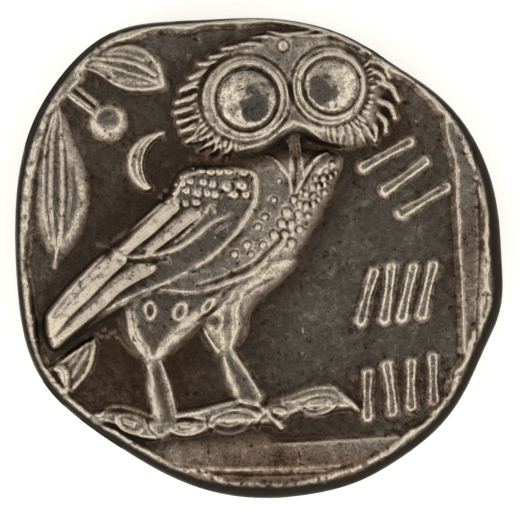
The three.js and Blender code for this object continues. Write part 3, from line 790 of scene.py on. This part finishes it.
def strike_sprig(r):
    top_leaf = [
        (-9.1, 9.65), (-8.7, 9.95), (-7.5, 10.7), (-6.5, 10.9), (-5.5, 10.55), (-4.9, 9.9), (-4.65, 9.1),
        (-4.6, 8.5), (-5.4, 8.35), (-6.3, 8.3), (-7.1, 8.55), (-8.1, 9.25),
    ]
    left_leaf = [
        (-10.2, 7.9), (-10.7, 7.2), (-11.1, 6.1), (-11.2, 4.6), (-11.3, 3), (-11.2, 1.9), (-10.8, 0.7),
        (-10.2, -0.05), (-9.6, 0.3), (-9.05, 1.2), (-8.65, 2.3), (-8.55, 3.5), (-8.8, 4.7), (-9.25, 5.8),
        (-9.7, 7),
    ]
    r.plate(top_leaf, 0.34, 0.5, matt=-0.7)
    r.plate(left_leaf, 0.34, 0.55, matt=-0.7)
    upper = [
        (-9, 9.7), (-8.5, 9.95), (-7.4, 10.5), (-6.5, 10.65), (-5.65, 10.3), (-5.1, 9.7), (-4.85, 9.1),
        (-4.8, 8.7),
    ]
    r.stroke(upper, (0.14, 0.26, 0.26), 0.08)
    r.strokes([
        ([(-8.9, 9.6), (-8.1, 9.35), (-7.2, 8.75), (-6.4, 8.5), (-5.5, 8.5), (-4.9, 8.6)],
         (0.1, 0.16, 0.2), 0.08),
        ([(-8.3, 10.05), (-7, 9.95), (-6, 9.7), (-5.2, 9.2)], 0.12, 0.08),
        ([(-7.9, 9.75), (-7, 9.5), (-6, 9.2), (-5.2, 8.9)], 0.1, 0.06),
        ([(-7.6, 10.25), (-6.6, 10.25), (-5.8, 9.95)], 0.08, 0.05),
        ([(-7.3, 9.15), (-6.3, 8.95), (-5.5, 8.8)], 0.07, 0.04),
        ([(-10, 7.6), (-9.9, 6.2), (-9.85, 4.5), (-9.85, 2.6), (-9.95, 1.2), (-10.05, 0.3)],
         (0.08, 0.13, 0.08), 0.1),
        ([(-10.15, 7.4), (-10.35, 6), (-10.42, 4.3), (-10.42, 2.6), (-10.3, 1.2), (-10.15, 0.4)],
         (0.07, 0.11, 0.07), 0.1),
        ([(-10.3, 7.2), (-10.65, 5.8), (-10.78, 4.3), (-10.75, 2.6), (-10.5, 1)], 0.08, 0.06),
        ([(-9.75, 6.2), (-9.5, 4.9), (-9.42, 3.3), (-9.55, 2)], 0.07, 0.04),
        ([(-10.12, 0.5), (-10.2, 0), (-10.25, -0.4)], 0.14, 0.14),
    ], gain=1.3, steepest=0.9, matt=0.9)
    r.roughen([(-8.7, 9.95), (-6.5, 10.6), (-5.2, 9.7), (-4.9, 8.8)], (0.3, 0.4, 0.5), 0.4)
    r.roughen([(-9.3, 6.2), (-8.8, 3.6), (-9.4, 1)], 0.35, 0.6)
    r.roughen([(-10.9, 6.4), (-11.2, 3.6), (-11, 1.2)], 0.35, 0.6)
    r.bank([(-9, 9.75), (-9.5, 9.1), (-10, 8.3), (-10.5, 7.3), (-11, 6.5)], (0.2, 0.3, 0.2), 0.4)
    r.bank([(-10, 8.6), (-9.1, 7.95), (-8.2, 7.25)], (0.2, 0.26, 0.22), 0.36)
    r.bank([(-9.4, 8.8), (-8.6, 8.15), (-7.9, 7.55)], (0.12, 0.14, 0.12), 0.2)
    r.dome(-7.58, 6.85, 1.0, 0.98, 0.48, foot=0.03)
    r.bead(-7.55, 7.0, 0.62, 0.56, -0.16, section=ramp)
    r.roughen([(-8, 6.85), (-7.2, 6.85)], 0.75, 0.7)
    r.polish(-7.55, 7.0, 0.5, 0.46, -0.2)


def strike_crescent(r):
    outer = ring_points(-5.1, 4.8, 1.62, 1.6, 0, 76, 250, 12)
    inner = ring_points(-4.25, 4.72, 1.55, 1.6, 0, 228, 106, 9)
    r.plate(np.vstack([outer, inner])[:-1], 0.33, 0.3)
    r.stroke(ring_points(-4.48, 4.78, 1.55, 1.6, 0, 118, 215, 9), (0.06, 0.1, 0.06), -0.09, steepest=1)
    r.stroke(ring_points(-4.32, 4.72, 1.55, 1.6, 0, 108, 224, 9), (0.06, 0.1, 0.06), 0.08, steepest=1)
    r.roughen(ring_points(-5.0, 4.8, 1.5, 1.5, 0, 110, 220, 9), (0.2, 0.3, 0.2), 0.7)


# Where each row of strokes starts, the step to the next stroke, how far a stroke reaches, how many.
STROKE_ROWS = [
    ((5.3, 4.6), (0.95, -1.15), (2.15, 1.35), 3),
    ((5.2, -3.1), (1, 0.1), (0.5, 2.5), 4),
    ((5.5, -7.9), (1.1, 0.26), (-0.1, 2.2), 4),
]


def strike_rows(r):
    for (x, y), (dx, dy), (rx, ry), count in STROKE_ROWS:
        for i in range(count):
            sway = 0.09 * math.sin(2.3 * i + x)
            start = (x + i * dx + sway, y + i * dy)
            end = (start[0] + rx - 2 * sway, start[1] + ry + sway)
            middle = ((start[0] + end[0]) / 2 + sway / 2, (start[1] + end[1]) / 2)
            r.bank([start, middle, end], (0.36, 0.27, 0.33), 0.25)
            r.stroke([start, middle, end], (0.16, 0.12, 0.14), -0.06)


def owl_side():
    """The upper face's relief above the field, worn and grained."""
    r = Relief()
    strike_flan(r)
    stain_and_shade_flan(r)
    strike_ruff(r)
    strike_sprig(r)
    strike_crescent(r)
    strike_rows(r)
    strike_tail(r)
    strike_legs(r)
    strike_claws(r)
    strike_body(r)
    strike_feathers(r)
    strike_scales(r)
    strike_head(r)
    strike_beak(r)
    strike_border(r)
    wear(r, seed=11, pits=420)
    return r


def wear(r, seed, pits):
    """Softens the strike, then roughens it: flow lumps, fine grain, and pits."""
    shape = r.z.shape
    inside = ease(r.inset / 0.3)
    r.z = blurred(r.z, 0.03)
    lumps = 0.012 * grain(shape, 0.5, seed)
    lumps += 0.008 * grain(shape, 0.16, seed + 1)
    lumps += 0.004 * grain(shape, 0.06, seed + 2)
    r.z += inside * lumps
    smooth = r.z.copy()
    rng = np.random.default_rng(seed + 3)
    for _ in range(pits):
        angle, share = rng.uniform(-math.pi, math.pi), math.sqrt(rng.uniform())
        radius = share * PIT_REACH
        size = 0.04 + 0.07 * rng.uniform() ** 3
        x, y = radius * math.cos(angle), radius * math.sin(angle)
        r.bead(x, y, size, size * rng.uniform(0.7, 1.4), -0.6 * size)
    r.z = np.where(r.matt < POLISHED, smooth, r.z)


# ---- The underside: a plain helmeted head in profile, seen from below with its face to the right


def under_level(radius):
    """Height of the underside's field, which domes downward to the middle."""
    return DOME_Z + DOME_RISE * (radius / FLAN_RADIUS) ** 2.2


def head_side():
    """The lower face's relief, in the coordinates of someone who looks at it from below."""
    r = Relief()
    r.inset = flan_radius(np.arctan2(r.y, -r.x)) - np.hypot(r.x, r.y)
    profile = [
        (5.2, 1.4), (5.5, -0.2), (6.4, -1.9), (6.75, -2.3), (6.2, -2.75), (6.35, -3.3), (6.1, -3.7),
        (6.25, -4.2), (5.9, -4.7), (6.1, -5.3), (5.6, -6.1), (4.4, -6.4), (2.9, -6.6), (1.9, -7.6),
        (1.3, -9.3), (-3.2, -9.2), (-3.5, -7.4), (-4.4, -5.4), (-6.6, -3.8), (-8, -0.6), (-8.2, 3),
        (-6.4, 6.4), (-3, 8.6), (0.8, 8.8), (3.8, 7), (5.3, 4.2),
    ]
    r.plate(profile, 0.42, 0.6)
    r.dome(-1.6, 3.1, 6.4, 5.4, 1.0, turn=-8, foot=0.3)
    r.dome(2.4, -1.7, 3.7, 4.5, 0.85, turn=14, foot=0.3)
    r.dome(-1.0, -6.2, 2.9, 3.6, 0.8, turn=-8, foot=0.25)
    r.dome(-5.6, -0.4, 2.3, 4.2, 0.8, turn=-12, foot=0.3)
    # The middle of the coin leaves less room under it, so the head is lower there.
    room = under_level(np.hypot(r.x, r.y)) - FINE_RELIEF
    r.z = -smooth_max(-r.z, -room, 0.12)
    r.stain_and_shade += 0.7 * (1 - ease(r.z / 0.3))
    r.strokes([
        # The helmet's edge, its cap band and its crest.
        ([(5.3, 2.2), (3.6, 2.5), (1.6, 1.9), (-0.6, 0.4), (-2.6, -0.6), (-4.6, -1.2)], 0.26, 0.15),
        ([(5.2, 2.9), (3.5, 3.2), (1.3, 2.6), (-0.9, 1.1), (-3, 0.2), (-5, -0.3)], 0.14, 0.1),
        ([(5, 2.5), (3.5, 2.85), (1.4, 2.25), (-0.75, 0.75), (-2.8, -0.2), (-4.8, -0.8)], 0.1, -0.1),
        ([(5.1, 4.9), (3.6, 7.4), (0.6, 9.1), (-3.2, 8.95), (-6.6, 6.9), (-8.5, 3.4), (-8.9, 0)],
         (0.25, 0.62, 0.2), 0.3),
        # Brow, eye, nostril, lips, jaw and ear.
        ([(5.15, 0.75), (4.5, 0.95), (3.7, 0.75)], (0.1, 0.2, 0.1), 0.16),
        ([(5.2, 0.1), (4.7, 0.35), (3.8, 0.2), (3.3, -0.1)], 0.1, 0.12),
        ([(5.1, -0.15), (4.6, -0.4), (3.8, -0.3), (3.3, -0.1)], 0.09, 0.1),
        ([(5.9, -2.4), (5.55, -2.55), (5.4, -2.2)], 0.12, 0.12),
        ([(6.2, -3.72), (5.6, -3.7), (5, -3.85)], 0.09, -0.14),
        ([(6.1, -3.35), (5.5, -3.4), (5.1, -3.6)], 0.14, 0.08),
        ([(6, -4.1), (5.5, -4.15), (5.1, -3.95)], 0.14, 0.08),
        ([(3.4, -5.8), (2.2, -5.1), (1.2, -3.9), (0.7, -2.6)], (0.2, 0.4, 0.2), 0.07),
        ([(0.4, -0.9), (-0.2, -0.4), (-0.5, -1.1), (-0.1, -1.9), (0.3, -2.1)], 0.13, 0.18),
        ([(0.2, -2.7), (0.2, -3.1)], 0.28, 0.2),
        # A plain necklace.
        ([(1.5, -8), (-0.6, -8.5), (-3.2, -8.2)], 0.16, 0.14),
    ])
    r.bead(4.35, -0.02, 0.42, 0.28, 0.12)
    # Hair: waves at the brow and locks down the nape.
    for i in range(7):
        x = 4.9 - 0.72 * i
        y = 1.75 - 0.05 * i - 0.03 * i * i
        r.stroke([(x, y), (x - 0.35, y - 0.5), (x - 0.1, y - 0.95)], (0.1, 0.17, 0.08), 0.13)
    for i in range(6):
        x = -1.9 - 0.72 * i
        lock = [(x, -1.5 - 0.1 * i), (x - 0.3, -3.4), (x + 0.25, -5.0 + 0.25 * i)]
        r.stroke(lock, (0.12, 0.2, 0.1), 0.14)
    # Three plain leaves on the bowl.
    for i in range(3):
        x, y = 3.6 - 1.5 * i, 3.9 + 0.35 * i
        r.stroke([(x, y), (x - 0.25, y + 0.8), (x - 0.1, y + 1.6)], (0.08, 0.3, 0.06), 0.12)
        r.stroke([(x, y), (x - 0.25, y + 0.8), (x - 0.1, y + 1.6)], 0.06, -0.07)
    wear(r, seed=31, pits=260)
    return r


# ---- The mesh


def disc_grid(count):
    """A square grid bent into a unit disc, so that its border runs round the circle."""
    side = np.linspace(-1, 1, count)
    a, b = np.meshgrid(side, side)
    upright = np.abs(b) > np.abs(a)
    radius = np.where(upright, b, a)
    other = np.where(upright, a, b)
    turn = (math.pi / 4) * other / np.where(radius == 0, 1, radius)
    x = np.where(upright, radius * np.sin(turn), radius * np.cos(turn))
    y = np.where(upright, radius * np.cos(turn), radius * np.sin(turn))
    return x, y


def border_indices(count):
    """The grid's border, counter-clockwise."""
    n = np.arange(count * count).reshape(count, count)
    return np.concatenate([n[0, :-1], n[:-1, -1], n[-1, :0:-1], n[:0:-1, 0]])


# Splits in the edge wall: bearing in degrees, lean along the wall in mm, and depth.
SPLITS = [
    (-3, 0.5, 0.3), (41, -0.6, 0.2), (88, 0.3, 0.25), (118, 0.8, 0.18), (171, -0.5, 0.35), (196, 0.4, 0.2),
    (239, 0.9, 0.3), (262, -0.3, 0.16), (301, 0.6, 0.22), (338, -0.8, 0.18),
]


def wall_splits(angle, t):
    """How deep the splits cut the edge wall at a share t of the way down it."""
    depth = np.zeros_like(angle)
    fade = math.sin(math.pi * min(1, 1.1 * t)) ** 0.5
    for bearing, lean, deep in SPLITS:
        away = np.angle(np.exp(1j * (angle - math.radians(bearing)))) * FLAN_RADIUS
        away += lean * (t - 0.4) + 0.07 * math.sin(9 * t + bearing)
        depth = np.maximum(depth, deep * bell(np.clip(away / 0.17, -1, 1)) * fade)
    return depth


def wall_rows(angle, radius, high, low):
    """Rows of points down the hammered wall, between the borders of the two faces."""
    rng = np.random.default_rng(5)
    rough = rng.standard_normal((WALL_ROWS, len(angle)))
    spread = np.exp(-2 * (np.pi * np.fft.rfftfreq(len(angle)) * len(angle) / WALL_LUMPS) ** 2)
    rough = np.fft.irfft(np.fft.rfft(rough, axis=1) * spread, n=len(angle), axis=1)
    rough = np.cumsum(rough, axis=0) / np.sqrt(WALL_ROWS)
    rough /= rough.std()
    rows = []
    for i in range(1, WALL_ROWS):
        t = i / WALL_ROWS
        if t < BELLY:
            pull = UPPER_PULL * (1 - t / BELLY) ** 2
        else:
            pull = LOWER_PULL * ((t - BELLY) / (1 - BELLY)) ** 2.2
        out = radius - pull - 0.05 * np.clip(1.2 + rough[i], 0, 3) * math.sin(math.pi * t)
        out -= wall_splits(angle, t)
        rows.append(np.stack([out * np.cos(angle), out * np.sin(angle), high + (low - high) * t], axis=1))
    return rows


def coin_vertices(top, bottom):
    """Upper face, lower face and the rows of the wall between them in mm, and the faces' border."""
    x, y = disc_grid(MESH_SIDE)
    angle = np.arctan2(y, x)
    outline = flan_radius(angle)
    upper_x, upper_y = x * (outline - UPPER_PULL), y * (outline - UPPER_PULL)
    upper_z = FIELD_Z + top.sample(top.z, upper_x, upper_y)
    lower_x, lower_y = x * (outline - LOWER_PULL), y * (outline - LOWER_PULL)
    radius = np.hypot(lower_x, lower_y)
    inset = outline - radius
    base = under_level(radius)
    base += (EDGE_FOOT_Z - base) * (1 - ease((inset - LOWER_PULL) / 0.5)) ** 2
    lower_z = base - bottom.sample(bottom.z, -lower_x, lower_y) * ease((inset - LOWER_PULL) / 0.6)
    lower_z = np.maximum(lower_z, 0.0)
    border = border_indices(MESH_SIDE)
    wall = wall_rows(*[each.ravel()[border] for each in (angle, outline, upper_z, lower_z)])
    upper = np.stack([upper_x, upper_y, upper_z], axis=-1).reshape(-1, 3)
    lower = np.stack([lower_x, lower_y, lower_z], axis=-1).reshape(-1, 3)
    return np.vstack([upper, lower] + wall), border


def coin_quads(border):
    count = MESH_SIDE
    n = np.arange(count * count).reshape(count, count)
    quad = np.stack([n[:-1, :-1], n[:-1, 1:], n[1:, 1:], n[1:, :-1]], axis=-1).reshape(-1, 4)
    rings = [border]
    rings += [2 * count * count + i * len(border) + np.arange(len(border)) for i in range(WALL_ROWS - 1)]
    rings.append(border + count * count)
    bands = []
    for above, below in zip(rings, rings[1:]):
        bands.append(np.stack([above, below, np.roll(below, -1), np.roll(above, -1)], axis=1))
    return np.vstack([quad, quad[:, ::-1] + count * count] + bands)


def build_mesh(top, bottom):
    points, border = coin_vertices(top, bottom)
    quads = coin_quads(border)
    mesh = bpy.data.meshes.new("struck_coin")
    mesh.vertices.add(len(points))
    mesh.vertices.foreach_set("co", (points * MM).ravel())
    mesh.loops.add(quads.size)
    mesh.loops.foreach_set("vertex_index", quads.ravel())
    mesh.polygons.add(len(quads))
    mesh.polygons.foreach_set("loop_start", np.arange(0, quads.size, 4))
    mesh.update(calc_edges=True)
    coin = bpy.data.objects.new("struck_coin", mesh)
    bpy.context.scene.collection.objects.link(coin)
    thin = coin.modifiers.new("thin", "DECIMATE")
    thin.ratio = min(1.0, TRIANGLES / (2 * len(quads)))
    graph = bpy.context.evaluated_depsgraph_get()
    coin.data = bpy.data.meshes.new_from_object(coin.evaluated_get(graph), depsgraph=graph)
    coin.modifiers.clear()
    bpy.data.meshes.remove(mesh)
    coin.data.shade_smooth()
    return coin


# What is written at each vertex, and what brings it to about 1.
LAYERS = ("fine_hollow", "broad_hollow", "deep_hollow_shade", "matt", "stain_and_shade", "toned_and_shaded_edge")
LAYER_SCALES = (1 / 0.06, 1 / 0.25, 1 / 0.25, 1.0, 1.0, 1.0)
# How far round a place its height is compared for the three hollows, in mm, and their values on the wall.
HOLLOW_WIDTHS = (0.13, 0.55, 1.4)
WALL_HOLLOWS = (0.012, 0.03, 0.03)
MATT_BLUR = 0.08


def mark_surface(coin, top, bottom):
    """Writes what the metal's tone and its painted shade follow: how hollow each place is, and how near the
    edge, which is painted dark.
    """
    mesh = coin.data
    at = np.empty(len(mesh.vertices) * 3)
    mesh.vertices.foreach_get("co", at)
    x, y, _ = at.reshape(-1, 3).T / MM
    inset = flan_radius(np.arctan2(y, x)) - np.hypot(x, y)
    normal = np.empty(len(mesh.vertices) * 3)
    mesh.vertices.foreach_get("normal", normal)
    facing = normal.reshape(-1, 3)[:, 2]
    maps = []
    for relief in (top, bottom):
        hollows = [blurred(relief.z, width) - relief.z for width in HOLLOW_WIDTHS]
        maps.append(hollows + [blurred(relief.matt, MATT_BLUR), relief.stain_and_shade])
    values = []
    for layer in range(5):
        above = top.sample(maps[0][layer], x, y)
        below = bottom.sample(maps[1][layer], -x, y)
        values.append(np.where(facing > 0, above, below))
    # The upright wall is neither hollow nor proud, and gets half the painted edge shade of the rounding
    # above it.
    upright = 1 - ease(np.abs(facing) / 0.6)
    for layer, level in enumerate(WALL_HOLLOWS):
        values[layer] += (level - values[layer]) * upright
    # Painted shade: the fall to the edge, and less so the wall, darkens toward the outline.
    fall = around(np.arctan2(y, x), FALL)
    values.append((1 - ease((inset - 0.75 * fall) / (0.35 * fall))) * (1 - 0.48 * upright))
    for name, value, scale in zip(LAYERS, values, LAYER_SCALES):
        layer = mesh.attributes.new(name, "FLOAT", "POINT")
        layer.data.foreach_set("value", (value * scale).astype(np.float32))


# ---- Metal


class Nodes:
    """A few calls that keep node trees short to write."""

    def __init__(self, tree):
        self.tree = tree
        tree.nodes.clear()

    def add(self, kind, sockets=None, **settings):
        made = self.tree.nodes.new(kind)
        for name, value in settings.items():
            setattr(made, name, value)
        for name, value in (sockets or {}).items():
            self.feed(made.inputs[name], value)
        return made

    def feed(self, socket, value):
        if isinstance(value, bpy.types.NodeSocket):
            self.tree.links.new(value, socket)
        else:
            socket.default_value = value

    def math(self, operation, a, b=0.0, clamp=False):
        return self.add("ShaderNodeMath", {0: a, 1: b}, operation=operation, use_clamp=clamp).outputs[0]

    def span(self, value, low, high, to_low=0.0, to_high=1.0):
        sockets = {"Value": value, "From Min": low, "From Max": high, "To Min": to_low, "To Max": to_high}
        return self.add("ShaderNodeMapRange", sockets, interpolation_type="SMOOTHSTEP").outputs["Result"]

    def mix(self, share, a, b, blend="MIX"):
        made = self.add("ShaderNodeMix", data_type="RGBA", blend_type=blend)
        self.feed(made.inputs["Factor"], share)
        self.feed(made.inputs["A"], a)
        self.feed(made.inputs["B"], b)
        return made.outputs["Result"]

    def noise(self, place, scale, detail=4.0, rough=0.55):
        sockets = {"Vector": place, "Scale": scale, "Detail": detail, "Roughness": rough}
        return self.add("ShaderNodeTexNoise", sockets).outputs["Fac"]


WORN_SILVER = (0.53, 0.465, 0.38, 1)
TONED_SILVER = (0.215, 0.185, 0.155, 1)
BROWN_PATINA_AND_SHADE = (0.075, 0.052, 0.036, 1)
DIRT_AND_SHADE = (0.016, 0.011, 0.008, 1)
STAIN_AND_SHADE_TINT = (1.0, 0.66, 0.46, 1)
EDGE_TONE_AND_SHADE = (0.014, 0.0095, 0.007, 1)


def silver():
    material = bpy.data.materials.new("toned_silver")
    material.use_nodes = True
    n = Nodes(material.node_tree)
    place = n.add("ShaderNodeTexCoord").outputs["Object"]
    layers = [n.add("ShaderNodeAttribute", attribute_name=name).outputs["Fac"] for name in LAYERS]
    fine, broad, deep, matt, stain_and_shade, toned_and_shaded_edge = layers
    clouds = n.noise(place, 330, 6, 0.6)
    speckle = n.noise(place, 2600, 5, 0.65)
    dust = n.noise(place, 9000, 3, 0.75)
    scuff = n.noise(place, 16000, 2, 0.6)

    # Tone: worn silver on what stands proud of its surroundings, partly a painted highlight along edges;
    # brown patina and then dirt in what lies below them, partly painted shade in the recesses.
    patina_and_shading = n.math("ADD", n.math("MULTIPLY", fine, 0.8), n.math("MULTIPLY", broad, 0.25))
    patina_and_shading = n.math("ADD", patina_and_shading, n.span(speckle, 0.25, 0.75, -0.3, 0.35))
    patina_and_shading = n.math("ADD", patina_and_shading, n.span(dust, 0.25, 0.75, -0.25, 0.3))
    patina_and_shading = n.math("ADD", patina_and_shading, n.span(clouds, 0.3, 0.7, -0.12, 0.2))
    patina_and_shading = n.math("SUBTRACT", patina_and_shading, n.span(matt, 0.3, 1.5, 0.0, 0.5))
    patina_and_shading = n.math("ADD", patina_and_shading, n.span(matt, -0.9, -0.4, 0.34, 0.0))
    patina_and_shading = n.math("SUBTRACT", patina_and_shading, n.span(matt, -1.0, -0.93, 0.74, 0.0))
    patina_and_shading = n.math("ADD", patina_and_shading, n.math("MULTIPLY", stain_and_shade, n.span(clouds, 0.35, 0.65, 0.05, 0.3)))
    color = n.mix(n.span(patina_and_shading, -0.7, 0.05), WORN_SILVER, TONED_SILVER)
    color = n.mix(n.span(patina_and_shading, 0.1, 0.7), color, BROWN_PATINA_AND_SHADE)
    # Painted shade: the field browns and darkens near big reliefs, as ambient occlusion would.
    color = n.mix(n.span(deep, -0.2, 0.9, 0.0, 0.9), color, BROWN_PATINA_AND_SHADE)
    # The patches tint and darken the flatter, lower tones: patina, and painted shade on parts of the field.
    stained_and_shaded = n.math("MULTIPLY", stain_and_shade, n.span(patina_and_shading, -0.45, 0.15, 0.12, 0.6))
    color = n.mix(stained_and_shaded, color, STAIN_AND_SHADE_TINT, blend="MULTIPLY")
    # Painted shade and dirt: the deepest hollows turn near black.
    grime_and_shade = n.span(patina_and_shading, 0.6, 1.4)
    color = n.mix(grime_and_shade, color, DIRT_AND_SHADE)
    specks = n.math("MAXIMUM", n.span(speckle, 0.6, 0.68), n.span(dust, 0.59, 0.68))
    color = n.mix(n.math("MULTIPLY", specks, 0.85), color, DIRT_AND_SHADE)
    # Painted shade: the fall to the edge and the wall go near black, darker than the toned edge metal is.
    color = n.mix(toned_and_shaded_edge, color, EDGE_TONE_AND_SHADE)

    rough = n.math("ADD", n.span(speckle, 0.3, 0.8, 0.19, 0.3), n.span(matt, -1.0, 1.0, -0.1, 0.16))
    # The painted dark of deep hollows and of the edge is also duller and less metallic.
    rough = n.math("ADD", rough, n.math("MULTIPLY", n.math("MAXIMUM", grime_and_shade, toned_and_shaded_edge), 0.25))
    metal = n.span(n.math("MAXIMUM", grime_and_shade, toned_and_shaded_edge), 0.2, 1.0, 1.0, 0.15)

    surface = n.math("ADD", n.math("MULTIPLY", speckle, 0.5), n.math("MULTIPLY", dust, 0.3))
    surface = n.math("ADD", surface, n.math("MULTIPLY", scuff, 0.2))
    surface = n.math("MULTIPLY", surface, n.span(matt, -1.0, 0.3, 0.12, 1.0))
    bump = n.add("ShaderNodeBump", {"Height": surface, "Strength": 0.8, "Distance": 0.00006})
    sockets = {"Base Color": color, "Roughness": rough, "Metallic": metal, "IOR": 1.2}
    shader = n.add("ShaderNodeBsdfPrincipled", sockets)
    n.feed(shader.inputs["Normal"], bump.outputs["Normal"])
    n.add("ShaderNodeOutputMaterial", {"Surface": shader.outputs["BSDF"]})
    return material


# ---- Studio


def floor():
    """Pale paper that glows a little, as a light table does, so that the coin's shadow stays faint."""
    mesh = bpy.data.meshes.new("floor")
    half = 3.0
    drop = 0.02 * MM  # keeps the paper clear of the coin's foot
    corners = [(-half, -half), (half, -half), (half, half), (-half, half)]
    mesh.from_pydata([(x, y, -drop) for x, y in corners], [], [(0, 1, 2, 3)])
    made = bpy.data.objects.new("floor", mesh)
    bpy.context.scene.collection.objects.link(made)
    material = bpy.data.materials.new("paper")
    material.use_nodes = True
    n = Nodes(material.node_tree)
    place = n.add("ShaderNodeTexCoord").outputs["Object"]
    fibre = n.noise(place, 900, 4, 0.5)
    color = n.mix(fibre, (0.94, 0.94, 0.935, 1), (0.96, 0.96, 0.955, 1))
    shader = n.add("ShaderNodeBsdfPrincipled", {"Base Color": color, "Roughness": 0.9})
    shader.inputs["Specular IOR Level"].default_value = 0.1
    shader.inputs["Emission Color"].default_value = (1, 0.995, 0.985, 1)
    shader.inputs["Emission Strength"].default_value = 0.3
    n.add("ShaderNodeOutputMaterial", {"Surface": shader.outputs["BSDF"]})
    mesh.materials.append(material)


RING_LIGHT = (1.62, 1.575, 1.49, 1)
HEADWARD_LIGHT = (0.74, 0.71, 0.67, 1)
ZENITH_LIGHT = (0.17, 0.167, 0.165, 1)


def light():
    """A ring of soft light all round, low and at middle height, with little overhead or underneath."""
    world = bpy.data.worlds.new("studio")
    bpy.context.scene.world = world
    world.use_nodes = True
    n = Nodes(world.node_tree)
    way = n.add("ShaderNodeTexCoord").outputs["Generated"]
    parts = n.add("ShaderNodeSeparateXYZ", {0: way})
    height = n.math("ABSOLUTE", parts.outputs["Z"])
    level = n.math("SQRT", n.math("SUBTRACT", 1.0, n.math("MULTIPLY", height, height)))
    headwards = n.math("DIVIDE", parts.outputs["Y"], n.math("ADD", level, 0.001))
    ring = n.mix(n.span(headwards, 0.6, 1.0), RING_LIGHT, HEADWARD_LIGHT)
    color = n.mix(n.span(height, 0.87, 0.935), ring, ZENITH_LIGHT)
    background = n.add("ShaderNodeBackground", {"Color": color, "Strength": 1.0})
    n.add("ShaderNodeOutputWorld", {"Surface": background.outputs[0]})


def camera():
    """Straight down on the lying coin, its head end up the picture."""
    data = bpy.data.cameras.new("camera")
    data.lens = 200
    data.sensor_width = 36
    made = bpy.data.objects.new("camera", data)
    frame_width = 26.0
    aim_x, aim_y = 0.05, 0.025
    distance = frame_width * data.lens / data.sensor_width
    made.location = Vector((aim_x, aim_y, FIELD_Z + RIM + distance)) * MM
    data.clip_start = 0.001
    bpy.context.scene.collection.objects.link(made)
    bpy.context.scene.camera = made


def main():
    top, bottom = owl_side(), head_side()
    coin = build_mesh(top, bottom)
    mark_surface(coin, top, bottom)
    coin.data.materials.clear()
    coin.data.materials.append(silver())
    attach(coin, "root")
    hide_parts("coin")
    floor()
    light()
    camera()
    bpy.context.scene.view_settings.view_transform = "Standard"


main()
